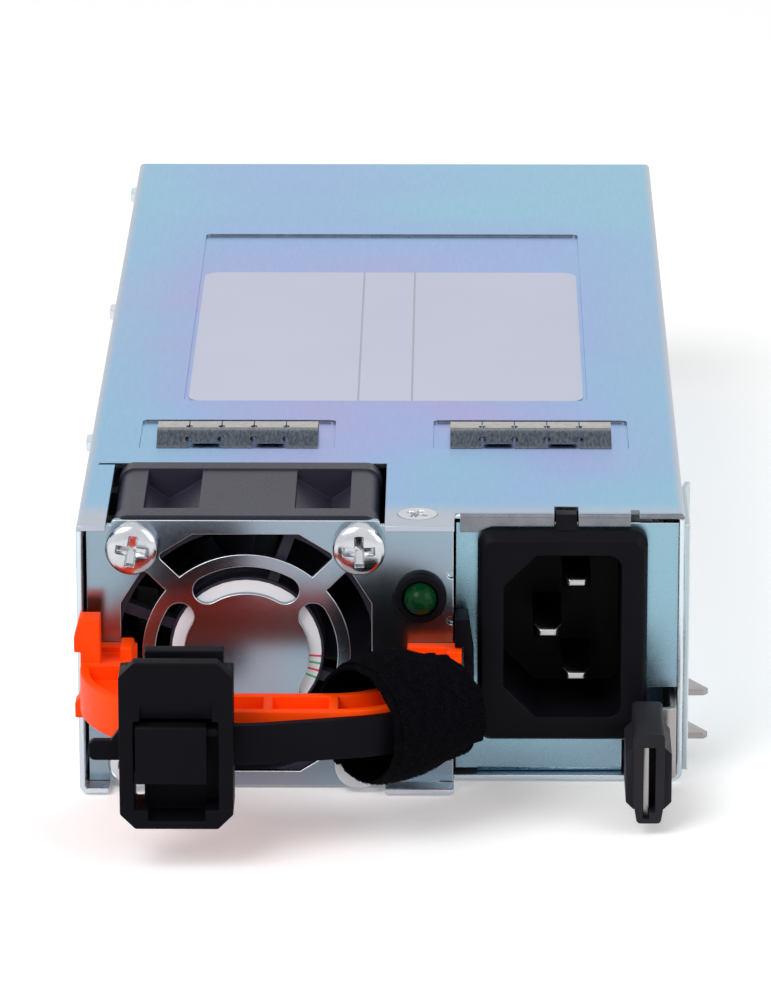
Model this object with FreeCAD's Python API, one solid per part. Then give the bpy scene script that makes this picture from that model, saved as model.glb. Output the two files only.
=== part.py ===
import FreeCAD, Part
import math
import os

Vector = FreeCAD.Vector

# Plug-in switching power supply: a sheet-steel module with a fan, a mains inlet, a pull handle,
# a cord strap and a sprung side latch on its front. Millimetres, +Z up, front towards -Y.
# Pieces are drawn with y = 0 at the front edge of the fan section, then moved so that the origin
# is the centre of the underside.

# Case
case_width = 85.6
case_height = 40.0
case_depth = 196.0
sheet = 0.8
bend_radius = 1.2
step_x = 10.3
inlet_setback = 6.0
seat_gap = 0.1
interlock_length = 4.4
interlock_places = (44.0, 112.5)
interlock_inset = 14.0
cover_flange = 6.0

# Cover embosses
emboss = 0.4
label_width = 58.8
label_length = 69.8
label_thickness = 0.12
label_corner = 2.5
hub_label_margin = 0.4
label_front = 60.8
label_margin = 0.6
label_recess_length = 92.0
pad_width = 28.4
pad_length = 14.2
pad_front = 36.3
pad_centre_x = 21.4

# Spring-finger strips
finger_count = 5
finger_pitch = 4.72
finger_slit = 0.5
finger_length = 12.2
finger_rise = 1.3
finger_foil = 0.2
finger_slope = 2.2
finger_knee = 1.0
finger_drop = 0.45

# Fan and its plate
fan_inset = 1.0
fan_depth = 28.0
fan_x = -19.07
fan_gap = 0.6
cover_overlap = 2.9
slit_share = 0.58
screw_inset = 4.0
fan_hole_radius = 1.75
bore_wall = 0.8
fan_proud = 0.2
fan_corner = 2.4
fan_waist = 0.25
fan_front_flange = 3.0
fan_rear_flange = 5.6
fan_pad = 6.8
pocket_front = 3.5
pocket_rear = 3.0
pocket_width = 7.8
pocket_valley = 4.9
pocket_edge = 0.4
pocket_floor = 3.5
pocket_lip = 1.4
strut_width = 1.6
plate_front = 3.2
plate_sheet = 1.0
plate_left_gap = 0.45
plate_round = 0.65
plate_flange = 9.0
grille_margin = 0.5
grille_gap = 2.95
ring_width = 1.85
slot_width = 4.0
grille_spoke = 2.8
slot_spoke = 1.6
grille_flat = 7.5
grille_trim = 0.4
grille_round = 0.7
notch_radius = 0.6
notch_heights = (25.0, 31.8)
cover_screw_y = 5.9
cover_screw_head = 2.8
cover_screw_core = 1.25
fan_screw_head = 3.75
fan_screw_rise = 2.8
fan_screw_side = 1.7
fan_screw_core = 1.45
hub_radius = 11.0
blade_count = 7
blade_tip_gap = 0.6
blade_thickness = 1.0
blade_chord = 16.0
blade_lean_root = 3.0
blade_lean_tip = 5.5
cup_wall = 1.4
cup_clearance = 0.8
cup_overhang = 2.4
shaft_radius = 1.0
bearing_radius = 3.0
running_fit = 0.05

# Status lamp
lamp_x = 5.5
lamp_z = 28.6
lamp_radius = 2.3
bezel_radius = 3.75
bezel_front = 1.3
lamp_depth = 2.5
lamp_leg = 0.5
lamp_leg_pitch = 2.54
lamp_leg_length = 6.0

# Mains inlet
inlet_x = 25.6
inlet_drop = 17.6
inlet_width = 24.0
inlet_height = 31.1
inlet_sink = 0.2
inlet_bevel = 1.2
inlet_corner = 2.0
inlet_proud = 3.2
inlet_body_width = 19.2
inlet_body_height = 25.4
inlet_body_depth = 21.0
socket_width = 16.6
socket_height = 24.1
socket_depth = 16.5
socket_chamfer = 4.6
socket_round = 1.9
socket_edge = 0.8
pin_width = 4.0
pin_thick = 2.0
pin_pitch = 14.0
pin_offset = 2.05
pin_recess = 3.2
pin_taper = 1.2
pin_point = 0.9
earth_lead = 1.4
terminal_thick = 0.8
snap_width = 3.0
snap_shift = 0.5
foot_reach = 6.0
foot_relief = 0.8
panel_relief = 3.4

# Pull handle
handle_left = -42.2
handle_right = 11.4
handle_bottom = 14.7
handle_height = 6.0
handle_reach = 23.1
handle_bar = 7.7
handle_corner = 18.5
handle_rim = 1.3
handle_web = 1.2
handle_rib = 1.3
handle_rib_pitch = 9.1
hook_height = 6.7
hook_step = 1.7
hook_knee = 3.8
hook_slope = 0.8
hook_width = 2.8
hook_depth = 3.5
low_hook_drop = 2.2
low_hook_depth = 3.0
heel_rise = 1.0
heel_thick = 2.0
heel_block = 2.2
heel_reach = 1.0
peg_width = 1.7
peg_rise = 2.0
peg_barb = 0.6
peg_reach = 2.5

# Cord strap and slider
strap_thick = 1.4
strap_height = 5.7
strap_middle = 17.25
strap_front = 27.4
strap_tail = -39.8
strap_tail_height = 2.8
strap_tail_drop = 0.75
strap_tail_round = 0.8
strap_straight = 22.3
shoulder_run = 1.6
strap_gap = 0.3
tooth_pitch = 1.3
tooth_depth = 0.4
head_height = 4.1
head_length = 5.0
head_slope = 0.85
strap_peg_radius = 0.6
strap_peg_rise = 1.3
strap_peg_inset = 0.8
slider_x = -27.7
slider_width = 15.6
slider_height = 24.1
slider_bottom = 6.3
slider_depth = 6.8
slider_front = 31.0
slider_chamfer = 2.1
slider_wall = 1.8
groove_front = 2.6
groove_width = 1.8
groove_depth = 1.2
lip_width = 10.8
lip_shift = 1.05
lip_rise = 0.3
scoop_width = 9.8
scoop_height = 3.4
scoop_depth = 1.2
slide_gap = 0.3
flap_width = 9.8
flap_side_gap = 0.2
flap_edge = 0.4
flap_pin_drop = 1.3
knuckle_wall = 0.7
pawl_drop = 2.2
pawl_slope = 0.8
pawl_tip = 0.6
pawl_back = 1.8
flap_height = 8.4
flap_bottom = 12.9
flap_thick = 1.7
flap_pin_radius = 0.7
window_width = 11.6
window_bottom = 9.05
window_slot = 1.2
notch_width = 7.8
notch_bottom = 7.5

# Hook-and-loop band
band_width = 15.8
band_radius = 8.6
band_wall = 1.25
band_turn = 40.0
band_inset = 4.74
band_z = 17.5

# Side latch
latch_sheet = 0.9
latch_bottom = 2.2
latch_height = 10.6
latch_leaf_height = 6.0
latch_pivot_y = 86.0
latch_web_back = 32.0
latch_jog_y = 0.9
latch_blade_x = 37.1
latch_leaf_taper = 6.0
leaf_end = 4.0
latch_wall_gap = 0.2
tab_width = 4.3
tab_shift = 0.4
tab_edge = 0.6
tab_taper = 0.5
tab_shoulder = 3.0
tab_wall = 1.5
wing = 1.05
wing_setback = 1.5
wing_bottom = 1.6
wing_top = 2.4
tab_window = 0.85
tab_window_depth = 5.0
tab_height = 13.2
tab_bottom = 1.6
tab_front = 15.8
tab_back = 1.9
barb_length = 8.0
barb_front = 15.3
barb_reach = 4.4
barb_low = 3.4
barb_high = 10.0
barb_gap = 0.7
barb_root = 0.6
barb_tip = 0.4
barb_nose = 0.8
rivet_radius = 1.0
rivet_head = 2.0
rivet_rise = 0.25
guide_length = 20.0
guide_sheet = 0.8
guide_flare = 0.6

# Main board and what stands on it
board_bottom = 5.0
board_thick = 1.6
board_front = 36.0
board_left = -40.4
board_right = 37.6
edge_width = 44.0
edge_reach = 9.0
insulator = 0.3
standoff_radius = 2.6
screw_core = 1.25
screw_head = 2.5
screw_rise = 1.6
screw_bite = 2.5
hole_front = 6.0
hole_back = 12.0
hole_side = 5.0
thread_depth = 3.0
vent_across = 6.6
vent_pitch = 8.2
capacitor_radius = 9.0
capacitor_gap = 3.6
output_can_radius = 4.0
output_can_height = 14.0
choke_place = (24.0, 56.0)
choke_outer = 10.0
choke_inner = 5.0
choke_width = 10.0
wire_radius = 1.1
wire_elbow = 2.2
blade_terminal = 7.0
lead_radius = 0.5
lead_pitch = 1.1
lead_inset = 1.67
lead_z = 8.2
sink_gap = 5.6
sink_fins = 6
sink_overhang = 10.0
transistor_width = 10.0
transistor_thick = 4.5
transistor_tab = 1.3
transistor_leg = 0.8
transistor_pitch = 2.54
sink_wall = 3.0
primary_sink_x = -34.0
secondary_sink_x = 22.0
primary_places = (66.0, 84.0, 102.0, 118.0)
secondary_places = (138.0, 158.0)
bulk_places = ((25.0, 92.0), (25.0, 112.0))
output_row = (-20.0, -9.0, 2.0, 13.0)
output_inset = 20.0

# The fan's socket under its leads: centre y, width, length, height
fan_socket = (37.7, 5.6, 3.0, 4.4)

# Blocks on the board: centre x and y, width, length, height
line_capacitor = (24.0, 72.0, 18.0, 9.0, 16.0)
inrush_relay = (-5.0, 46.0, 10.0, 18.0, 15.0)
bridge_rectifier = (7.0, 72.0, 14.0, 5.0, 20.0)
standby_transformer = (9.6, 132.0, 14.0, 14.0, 15.0)
control_card_x = -30.0
control_card_inset = 35.0
control_card_size = (1.6, 34.0, 20.0)
chip_size = 7.0

# Wound pieces: centre x, width, length, room left above, thickness of the core's legs
main_transformer_size = (-12.0, 33.0, 26.0, 5.6, 5.0)
main_transformer_y = 104.0
boost_choke_size = (-14.0, 26.0, 20.0, 8.6, 4.0)
boost_choke_y = 72.0
output_choke_size = (-8.0, 20.0, 16.0, 14.6, 3.5)
output_choke_inset = 44.0

# Fuse: centre x, front y, length, radius, height of its axis over its own radius
fuse = (6.0, 39.0, 22.0, 2.6, 1.0)

# Places worked out from the sizes above
half = case_width / 2
inner_half = half - sheet
cover_under = case_height - sheet
fan_z = case_height / 2
fan_size = case_height - 2 * fan_inset
fan_hole_pitch = case_height - 2 * screw_inset
fan_bore = fan_size - 2 * bore_wall
grille_square = fan_bore / 2 - grille_margin
grille_ring = grille_square - grille_gap
grille_slot = grille_ring - ring_width
grille_disc = grille_slot - slot_width
fan_left = fan_x - fan_size / 2 - fan_gap
fan_right = fan_x + fan_size / 2 + fan_gap
cover_screw_x = (fan_right - fan_gap + step_x) / 2
lead_x = fan_left + fan_gap + lead_inset
plate_back = plate_front + plate_sheet
fan_front = plate_back
fan_rear = fan_front + fan_depth
fan_opening_rear = fan_rear - cover_overlap
fan_step = fan_opening_rear - 2 * seat_gap
plate_left = -inner_half + plate_left_gap
plate_right = step_x - seat_gap
panel_front = inlet_setback + sheet + seat_gap
panel_back = panel_front + sheet
inlet_front = panel_front - inlet_proud
inlet_z = case_height - inlet_drop
board_top = board_bottom + board_thick
board_room = cover_under - board_top
capacitor_height = board_room - capacitor_gap
sink_height = board_room - sink_gap
output_y = case_depth - output_inset
strap_bottom = strap_middle - strap_height / 2
strap_top = strap_middle + strap_height / 2
handle_top = handle_bottom + handle_height
heel_top = handle_top + heel_rise
tail_bottom = strap_middle - strap_tail_drop - strap_tail_height / 2
tail_top = tail_bottom + strap_tail_height
strap_shoulder = slider_x - slider_width / 2 + slide_gap
latch_outer = inner_half - latch_wall_gap
latch_inner = latch_outer - latch_sheet
latch_top = latch_bottom + latch_height


# Drawing helpers: a point on a plane, an outline with rounded corners, a slab, a ribbon, rods,
# and small round pieces drawn as many-sided rings.
def on_plane(plane, level, a, b):
    if plane == "xy":
        return Vector(a, b, level)
    if plane == "xz":
        return Vector(a, level, b)
    return Vector(level, a, b)


def outline(plane, level, corners, radius=0.0):
    edges = []
    count = len(corners)
    tangents = []
    for index in range(count):
        before = Vector(*corners[index - 1][:2], 0)
        here = Vector(*corners[index][:2], 0)
        after = Vector(*corners[(index + 1) % count][:2], 0)
        corner_radius = corners[index][2] if len(corners[index]) > 2 else radius
        towards_before = (before - here).normalize()
        towards_after = (after - here).normalize()
        half_angle = towards_before.getAngle(towards_after) / 2
        if corner_radius <= 0 or half_angle > math.pi / 2 - 0.001:
            tangents.append((here, None, here))
            continue
        reach = corner_radius / math.tan(half_angle)
        inward = (towards_before + towards_after).normalize()
        middle = here + inward * (corner_radius / math.sin(half_angle) - corner_radius)
        tangents.append((here + towards_before * reach, middle, here + towards_after * reach))
    for index in range(count):
        start, middle, end = [point and on_plane(plane, level, point.x,
                                                 point.y) for point in tangents[index]]
        if middle:
            edges.append(Part.Arc(start, middle, end).toShape())
        following = tangents[(index + 1) % count][0]
        following = on_plane(plane, level, following.x, following.y)
        if end.distanceToPoint(following) > 1e-6:
            edges.append(Part.makeLine(end, following))
    return Part.Wire(edges)


def slab(plane, start, end, corners, radius=0.0):
    return Part.Face(outline(plane, start, corners, radius)).extrude(on_plane(plane, end - start, 0, 0))


def ribbon(plane, start, end, path, thickness, radius):
    sides = []
    for offset in (thickness / 2, -thickness / 2):
        side = []
        for index, (a, b) in enumerate(path):
            here = Vector(a, b, 0)
            runs = []
            if index > 0:
                runs.append((here - Vector(*path[index - 1], 0)).normalize())
            if index < len(path) - 1:
                runs.append((Vector(*path[index + 1], 0) - here).normalize())
            normals = [Vector(-run.y, run.x, 0) for run in runs]
            mitre = normals[0] if len(normals) == 1 else (normals[0] + normals[1]).normalize()
            stretch = 1 / mitre.dot(normals[0])
            point = here + mitre * (offset * stretch)
            turn = 0.0
            if len(runs) == 2:
                turn = runs[0].x * runs[1].y - runs[0].y * runs[1].x
            bend = radius - offset * math.copysign(1, turn) if len(runs) == 2 else 0.0
            side.append((point.x, point.y, bend))
        sides.append(side)
    return slab(plane, start, end, sides[0] + sides[1][::-1])


def box(x0, x1, y0, y1, z0, z1):
    return Part.makeBox(x1 - x0, y1 - y0, z1 - z0, Vector(x0, y0, z0))


def rod_x(x0, x1, y, z, radius):
    return Part.makeCylinder(radius, x1 - x0, Vector(x0, y, z), Vector(1, 0, 0))


def rod_y(x, y0, y1, z, radius):
    return Part.makeCylinder(radius, y1 - y0, Vector(x, y0, z), Vector(0, 1, 0))


def rod_z(x, y, z0, z1, radius):
    return Part.makeCylinder(radius, z1 - z0, Vector(x, y, z0), Vector(0, 0, 1))


def ringed(plane, a, b, profile, sides):
    sections = []
    for radius, level in profile:
        ring = []
        for side in range(sides):
            turn = 2 * math.pi * side / sides
            ring.append(on_plane(plane, level, a + radius * math.cos(turn), b + radius * math.sin(turn)))
        sections.append(ring)
    return faceted(sections)


def rectangle(a0, a1, b0, b1):
    return [(a0, b0), (a1, b0), (a1, b1), (a0, b1)]


def wire(points, radius):
    sides = 8
    sections = []
    for index, point in enumerate(points):
        here = Vector(*point)
        runs = []
        if index > 0:
            runs.append((here - Vector(*points[index - 1])).normalize())
        if index < len(points) - 1:
            runs.append((Vector(*points[index + 1]) - here).normalize())
        along = sum(runs, Vector()).normalize()
        stretch = 1 / along.dot(runs[0])
        flat = Vector(1, 0, 0)
        rise = flat.cross(along)
        ring = []
        for side in range(sides):
            turn = 2 * math.pi * side / sides
            across = flat * (radius * math.cos(turn))
            ring.append(here + across + rise * (radius * stretch * math.sin(turn)))
        sections.append(ring)
    return faceted(sections)


def faceted(sections):
    faces = [Part.Face(Part.makePolygon(sections[end] + sections[end][:1])) for end in (0, -1)]
    for ring, following in zip(sections, sections[1:]):
        count = len(ring)
        for k in range(count):
            a, b, c, d = ring[k], ring[(k + 1) % count], following[(k + 1) % count], following[k]
            faces.append(Part.Face(Part.makePolygon([a, b, c, a])))
            faces.append(Part.Face(Part.makePolygon([a, c, d, a])))
    solid = Part.Solid(Part.Shell(faces))
    return solid if solid.Volume > 0 else solid.reversed()


# Case: tray, cover, fan plate, inlet panel, rear panel, guide plate
def base_tray():
    inner_bend = bend_radius - sheet
    section = [
        (-half, cover_under), (-half, 0, bend_radius), (half, 0, bend_radius), (half, cover_under),
        (inner_half, cover_under), (inner_half, sheet, inner_bend),
        (-inner_half, sheet, inner_bend), (-inner_half, cover_under)]
    tray = slab("xz", 0, case_depth, section)
    tray = tray.cut(box(step_x, half + 1, -1, inlet_setback, -1, case_height))
    tray = tray.cut(box(fan_left, fan_right, -1, fan_opening_rear, -1, 2 * sheet))
    for barb_z in (barb_low, barb_high):
        tray = tray.cut(barb_slot(barb_z))
    for centre in interlock_places + (case_depth - interlock_inset,):
        reach = interlock_length / 2
        corners = [(-half, centre - reach), (-half, centre + reach),
                   (-half - sheet, centre + reach - sheet), (-half - sheet, centre - reach + sheet)]
        tray = tray.fuse(slab("xy", cover_under - 2 * sheet, cover_under, corners))
    return tray


def barb_slot(barb_z):
    return box(inner_half - 1, half + 3, barb_front - barb_gap, barb_front + barb_length + 2 * barb_gap,
               barb_z - latch_sheet / 2 - barb_gap, barb_z + latch_sheet / 2 + barb_gap)


def embossed(cover, x0, x1, y0, y1):
    corner = 2 * emboss
    below = box(x0 - sheet, x1 + sheet, y0 - sheet, y1 + sheet, cover_under - emboss, cover_under)
    recess = slab("xy", case_height - emboss, case_height + emboss, rectangle(x0, x1, y0, y1), corner)
    return cover.fuse(below).cut(recess)


def top_cover():
    round_edge = 0.9 * sheet
    section = [(-half, cover_under), (half, cover_under), (half, case_height, round_edge),
               (-half, case_height, round_edge)]
    cover = slab("xz", 0, case_depth, section)
    cover = cover.cut(box(step_x, half + 1, -1, inlet_setback, 0, case_height + 1))
    cover = cover.cut(box(fan_left, fan_right, -1, fan_opening_rear, 0, case_height + 1))
    slit_end = fan_left - slit_share * (half + fan_left)
    cover = cover.cut(box(slit_end, fan_left, fan_opening_rear - sheet, fan_opening_rear, 0,
                          case_height + 1))
    recess_half = label_width / 2 + label_margin
    recess_front = label_front - label_margin
    cover = embossed(cover, -recess_half, recess_half, recess_front, recess_front + label_recess_length)
    for side in (-1, 1):
        centre = side * pad_centre_x
        cover = embossed(cover, centre - pad_width / 2, centre + pad_width / 2, pad_front,
                         pad_front + pad_length)
        wall = side * (inner_half - seat_gap)
        flange = box(min(wall, wall - side * sheet), max(wall, wall - side * sheet), board_front,
                     case_depth - 4 * sheet,
                     cover_under - cover_flange, cover_under)
        cover = cover.fuse(flange)
    cover = cover.fuse(cover_lip())
    lip_left = step_x + sheet
    crease = box(lip_left, half, inlet_setback, inlet_setback + sheet, cover_under, case_height)
    crease = crease.cut(rod_x(lip_left, half, inlet_setback + sheet, cover_under, sheet))
    cover = cover.cut(crease)
    snap_half = snap_width / 2 + 2 * seat_gap
    snap_x = inlet_x + snap_shift
    cover = cover.cut(box(snap_x - snap_half, snap_x + snap_half, 0, panel_back + 2 * sheet,
                          inlet_top() - 1, case_height + 1))
    gap_left = inlet_x + inlet_width / 2 - 3 * sheet
    cover = cover.cut(box(gap_left, gap_left + 1.5 * sheet, 0, panel_back, 0, case_height + 1))
    return cover.cut(countersink())


def countersink():
    hole = rod_z(cover_screw_x, cover_screw_y, cover_under - 4 * sheet, case_height + 1,
                 cover_screw_core + seat_gap)
    sink = cover_screw_head - cover_screw_core
    cone = Part.makeCone(cover_screw_core + seat_gap, cover_screw_head + seat_gap, sink,
                         Vector(cover_screw_x, cover_screw_y, case_height - sink))
    return hole.fuse(cone)


def inlet_top():
    return inlet_z - inlet_sink + inlet_height / 2


def cover_lip():
    bezel_left = inlet_x - inlet_width / 2
    lip_left = step_x + sheet
    lip_right = inlet_x + inlet_width / 2 - 3 * sheet
    low = cover_under - 2.5 * sheet
    high = inlet_top() + 3 * seat_gap
    corners = [(lip_left, cover_under), (lip_left, low), (bezel_left - seat_gap, low),
               (bezel_left + inlet_corner, high), (lip_right, high), (lip_right, cover_under)]
    return slab("xz", inlet_setback, inlet_setback + sheet, corners)


def grille_openings():
    y0 = plate_front - 1
    y1 = plate_back + 1
    middle = (grille_disc + grille_slot) / 2
    slot_half = slot_width / 2
    sweep = 90 - 2 * math.degrees((slot_spoke / 2 + slot_half) / middle)
    spread = 2 * grille_slot * math.sin(math.radians(sweep / 2))
    rise = 2 * grille_slot * math.cos(math.radians(sweep / 2))
    spoke_offset = grille_spoke / math.sqrt(2)
    tip = (2 * grille_square - grille_flat - spoke_offset) / 2 - grille_trim
    openings = []
    for quarter in range(4):
        ring = rod_y(fan_x, y0, y1, fan_z, grille_slot)
        ring = ring.cut(rod_y(fan_x, y0 - 1, y1 + 1, fan_z, grille_disc))
        wedge = slab("xz", y0, y1, [(fan_x, fan_z), (fan_x - spread, fan_z + rise),
                                    (fan_x + spread, fan_z + rise)])
        slot = ring.common(wedge)
        for side in (-1, 1):
            turn = math.radians(90 + side * sweep / 2)
            slot = slot.fuse(rod_y(fan_x + middle * math.cos(turn), y0, y1,
                                   fan_z + middle * math.sin(turn), slot_half))
        corners = [(fan_x - tip, fan_z + tip + spoke_offset), (fan_x - grille_flat, fan_z + grille_square),
                   (fan_x + grille_flat, fan_z + grille_square),
                   (fan_x + tip, fan_z + tip + spoke_offset), (fan_x, fan_z + spoke_offset)]
        outer = slab("xz", y0, y1, corners)
        outer = outer.cut(rod_y(fan_x, y0 - 1, y1 + 1, fan_z, grille_ring))
        tips = [edge for edge in outer.Edges
                if abs(edge.tangentAt(edge.FirstParameter).y) > 0.99
                and abs(abs(edge.CenterOfMass.x - fan_x) - tip) < seat_gap
                and abs(edge.CenterOfMass.z - fan_z - tip - spoke_offset) < seat_gap]
        outer = outer.makeFillet(grille_round, tips)
        for opening in (slot, outer):
            opening.rotate(Vector(fan_x, 0, fan_z), Vector(0, 1, 0), 90 * quarter)
            openings.append(opening)
    return openings


def fan_holes(y0, y1, radius):
    reach = fan_hole_pitch / 2
    profile = [(radius, y0), (radius, y1)]
    return [ringed("xz", fan_x + a * reach, fan_z + b * reach, profile, 18)
            for a in (-1, 1) for b in (-1, 1)]


def fan_plate():
    left = fan_left + fan_gap
    right = fan_right - fan_gap
    low = sheet + seat_gap
    high = cover_under - seat_gap
    foot = seat_gap
    crest = case_height - 2 * seat_gap
    corners = [(plate_left, low), (left, low), (left, foot, plate_round), (right, foot, plate_round),
               (right, low), (plate_right, low), (plate_right, high), (right, high),
               (right, crest, plate_round), (left, crest, plate_round), (left, high), (plate_left, high)]
    plate = slab("xz", plate_front, plate_back, corners)
    plate = plate.cut(Part.makeCompound(grille_openings()))
    plate = plate.cut(Part.makeCompound(fan_holes(plate_front - 1, plate_back + 1, fan_hole_radius)))
    plate = plate.cut(rod_y(lamp_x, plate_front - 1, plate_back + 1, lamp_z, lamp_barrel() + seat_gap))
    fold = sheet * 4
    plate = plate.fuse(ribbon("xy", fold, case_height - fold, [
        (plate_left + 4 * plate_sheet, plate_front + plate_sheet / 2),
        (plate_left + plate_sheet / 2, plate_front + plate_sheet / 2),
        (plate_left + plate_sheet / 2, plate_back + plate_flange)], plate_sheet, plate_sheet))
    plate = plate.fuse(box(plate_right - plate_sheet, plate_right, plate_front,
                           plate_back + plate_flange, low, high))
    for notch_z in notch_heights:
        plate = plate.cut(rod_y(plate_right - notch_radius / 2, plate_front - 1, plate_back, notch_z,
                                notch_radius))
    tab_left = fan_right + fan_gap
    tab_right = plate_right - 2 * plate_sheet
    tab_end = cover_screw_y + 2 * cover_screw_head
    plate = plate.fuse(box(tab_left, tab_right, plate_front, tab_end, cover_under - plate_sheet,
                           cover_under))
    plate = plate.fuse(box(tab_left, tab_right, plate_front, tab_end, sheet, sheet + plate_sheet))
    return plate.cut(countersink()).cut(strap_peg(seat_gap))


def inlet_panel():
    left = step_x + 2 * seat_gap
    right = inner_half
    high = cover_under - sheet
    latch_left = inlet_x + inlet_width / 2
    latch_high = latch_top + 1
    relief_right = latch_left - panel_relief
    relief_high = inlet_top() - inlet_height - sheet
    corners = [(left, sheet), (relief_right, sheet), (relief_right, relief_high), (latch_left, relief_high),
               (latch_left, latch_high), (right, latch_high), (right, high), (left, high)]
    panel = slab("xz", panel_front, panel_back, corners)
    panel = panel.fuse(box(right - sheet, right, panel_front, panel_back + plate_flange, latch_high + 1,
                           high))
    foot_left = inlet_x - inlet_width / 2
    foot_end = panel_back + foot_reach
    panel = panel.fuse(box(foot_left, relief_right, panel_front, foot_end, sheet, 2 * sheet))
    panel = panel.fuse(box(foot_left, inlet_x - 5 * sheet, panel_front, foot_end, high, high + sheet))
    bend_y = panel_front + bend_radius
    bend_z = sheet + bend_radius
    bend = box(foot_left, relief_right, panel_front, bend_y, sheet, bend_z)
    panel = panel.cut(bend.cut(rod_x(foot_left, relief_right, bend_y, bend_z, bend_radius)))
    panel = panel.cut(box(left, foot_left, panel_front, panel_back, sheet, sheet + foot_relief))
    half_width = inlet_body_width / 2 + seat_gap
    half_height = inlet_body_height / 2 + seat_gap
    return panel.cut(box(inlet_x - half_width, inlet_x + half_width, panel_front - 1, panel_back + 1,
                         inlet_z - half_height, inlet_z + half_height))


def rear_panel():
    back = case_depth
    front = case_depth - sheet
    edge = inner_half - seat_gap
    corners = [(-edge, sheet, bend_radius), (edge, sheet, bend_radius), (edge, cover_under),
               (-edge, cover_under)]
    panel = slab("xz", front, back, corners)
    for side in (-1, 1):
        wall = side * edge
        panel = panel.fuse(box(min(wall, wall - side * sheet), max(wall, wall - side * sheet),
                               case_depth - 3 * sheet, back, sheet + bend_radius,
                               cover_under - cover_flange - 1))
    slot_half = edge_width / 2 + sheet
    panel = panel.cut(box(-slot_half, slot_half, front - 1, back + 1, board_bottom - sheet,
                          board_top + 2 * sheet))
    rows = int((cover_under - board_top - 5 * sheet) / (vent_pitch * math.sqrt(3) / 2))
    columns = int((2 * edge - 6 * sheet) / vent_pitch)
    vents = []
    for row in range(rows):
        stagger = vent_pitch / 2 if row % 2 else 0
        for column in range(columns - row % 2):
            x = (column - (columns - 1) / 2) * vent_pitch + stagger
            z = board_top + 4 * sheet + vent_across / 2 + row * vent_pitch * math.sqrt(3) / 2
            corner = vent_across / math.sqrt(3)
            ring = [(x + corner * math.sin(math.radians(60 * k)),
                     z + corner * math.cos(math.radians(60 * k))) for k in range(6)]
            vents.append(slab("xz", front - 1, back + 1, ring))
    return panel.cut(Part.makeCompound(vents))


def latch_guide():
    front = inlet_setback + seat_gap
    back = front + guide_length
    corners = [(half, front), (half, back - 4 * guide_sheet), (half + guide_flare, back),
               (half + guide_flare + guide_sheet, back),
               (half + guide_sheet, back - 4 * guide_sheet), (half + guide_sheet, front)]
    guide = slab("xy", 2 * sheet, case_height - 2 * sheet, corners)
    for barb_z in (barb_low, barb_high):
        guide = guide.cut(barb_slot(barb_z))
    return guide


def guide_rivets():
    heads = []
    radius = 1.5 * rivet_radius
    face = half + guide_sheet
    y = inlet_setback + guide_length / 2
    for z in (case_height * 0.62, case_height * 0.82):
        heads.append(ringed("yz", y, z, [(radius, face), (radius, face + rivet_rise)], 16))
    return Part.makeCompound(heads)


# Contact strips, label and screws on the cover
def finger_strip(side):
    centre = side * pad_centre_x
    width = finger_count * finger_pitch
    left = centre - width / 2
    seat = case_height - emboss
    front = pad_front + (pad_length - finger_length) / 2
    back = front + finger_length
    crown = case_height + finger_rise
    slope = finger_slope
    knee = finger_knee
    drop = finger_drop
    inside = finger_foil * 1.3
    section = [(front, seat), (front + knee, crown - drop), (front + slope, crown), (back - slope, crown),
               (back - knee, crown - drop), (back, seat), (back - inside, seat),
               (back - knee - inside, crown - drop - finger_foil / 2),
               (back - slope, crown - finger_foil), (front + slope, crown - finger_foil),
               (front + knee + inside, crown - drop - finger_foil / 2), (front + inside, seat)]
    strip = slab("yz", left, left + width, section)
    rail = emboss + finger_foil
    for index in range(1, finger_count):
        x = left + index * finger_pitch
        strip = strip.cut(box(x - finger_slit / 2, x + finger_slit / 2, front + slope, back - slope,
                              seat + rail, crown + 1))
    for index in (1, 3):
        x = left + index * finger_pitch
        strip = strip.cut(box(x + finger_slit, x + finger_pitch - finger_slit, front - 1,
                              front + slope / 2, seat + rail, crown + 1))
    return strip


def rating_label():
    seat = case_height - emboss
    return slab("xy", seat, seat + label_thickness,
                rectangle(-label_width / 2, label_width / 2, label_front, label_front + label_length),
                label_corner)


def cover_screw():
    sink = cover_screw_head - cover_screw_core
    length = sink + 3.5 * sheet
    profile = [(cover_screw_core, case_height - length), (cover_screw_core, case_height - sink),
               (cover_screw_head, case_height)]
    return ringed("xy", cover_screw_x, cover_screw_y, profile, 24)


def fan_screws():
    reach = fan_hole_pitch / 2
    head = plate_front - fan_screw_rise
    side = plate_front - fan_screw_side
    tip = plate_front + fan_front_flange + plate_sheet
    profile = [(fan_screw_head * 0.5, head), (fan_screw_head * 0.85, (3 * head + side) / 4),
               (fan_screw_head, side), (fan_screw_head, plate_front), (fan_screw_core, plate_front),
               (fan_screw_core, tip)]
    return Part.makeCompound([ringed("xz", fan_x + a * reach, fan_z + b * reach, profile, 18)
                              for a in (-1, 1) for b in (-1, 1)])


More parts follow.
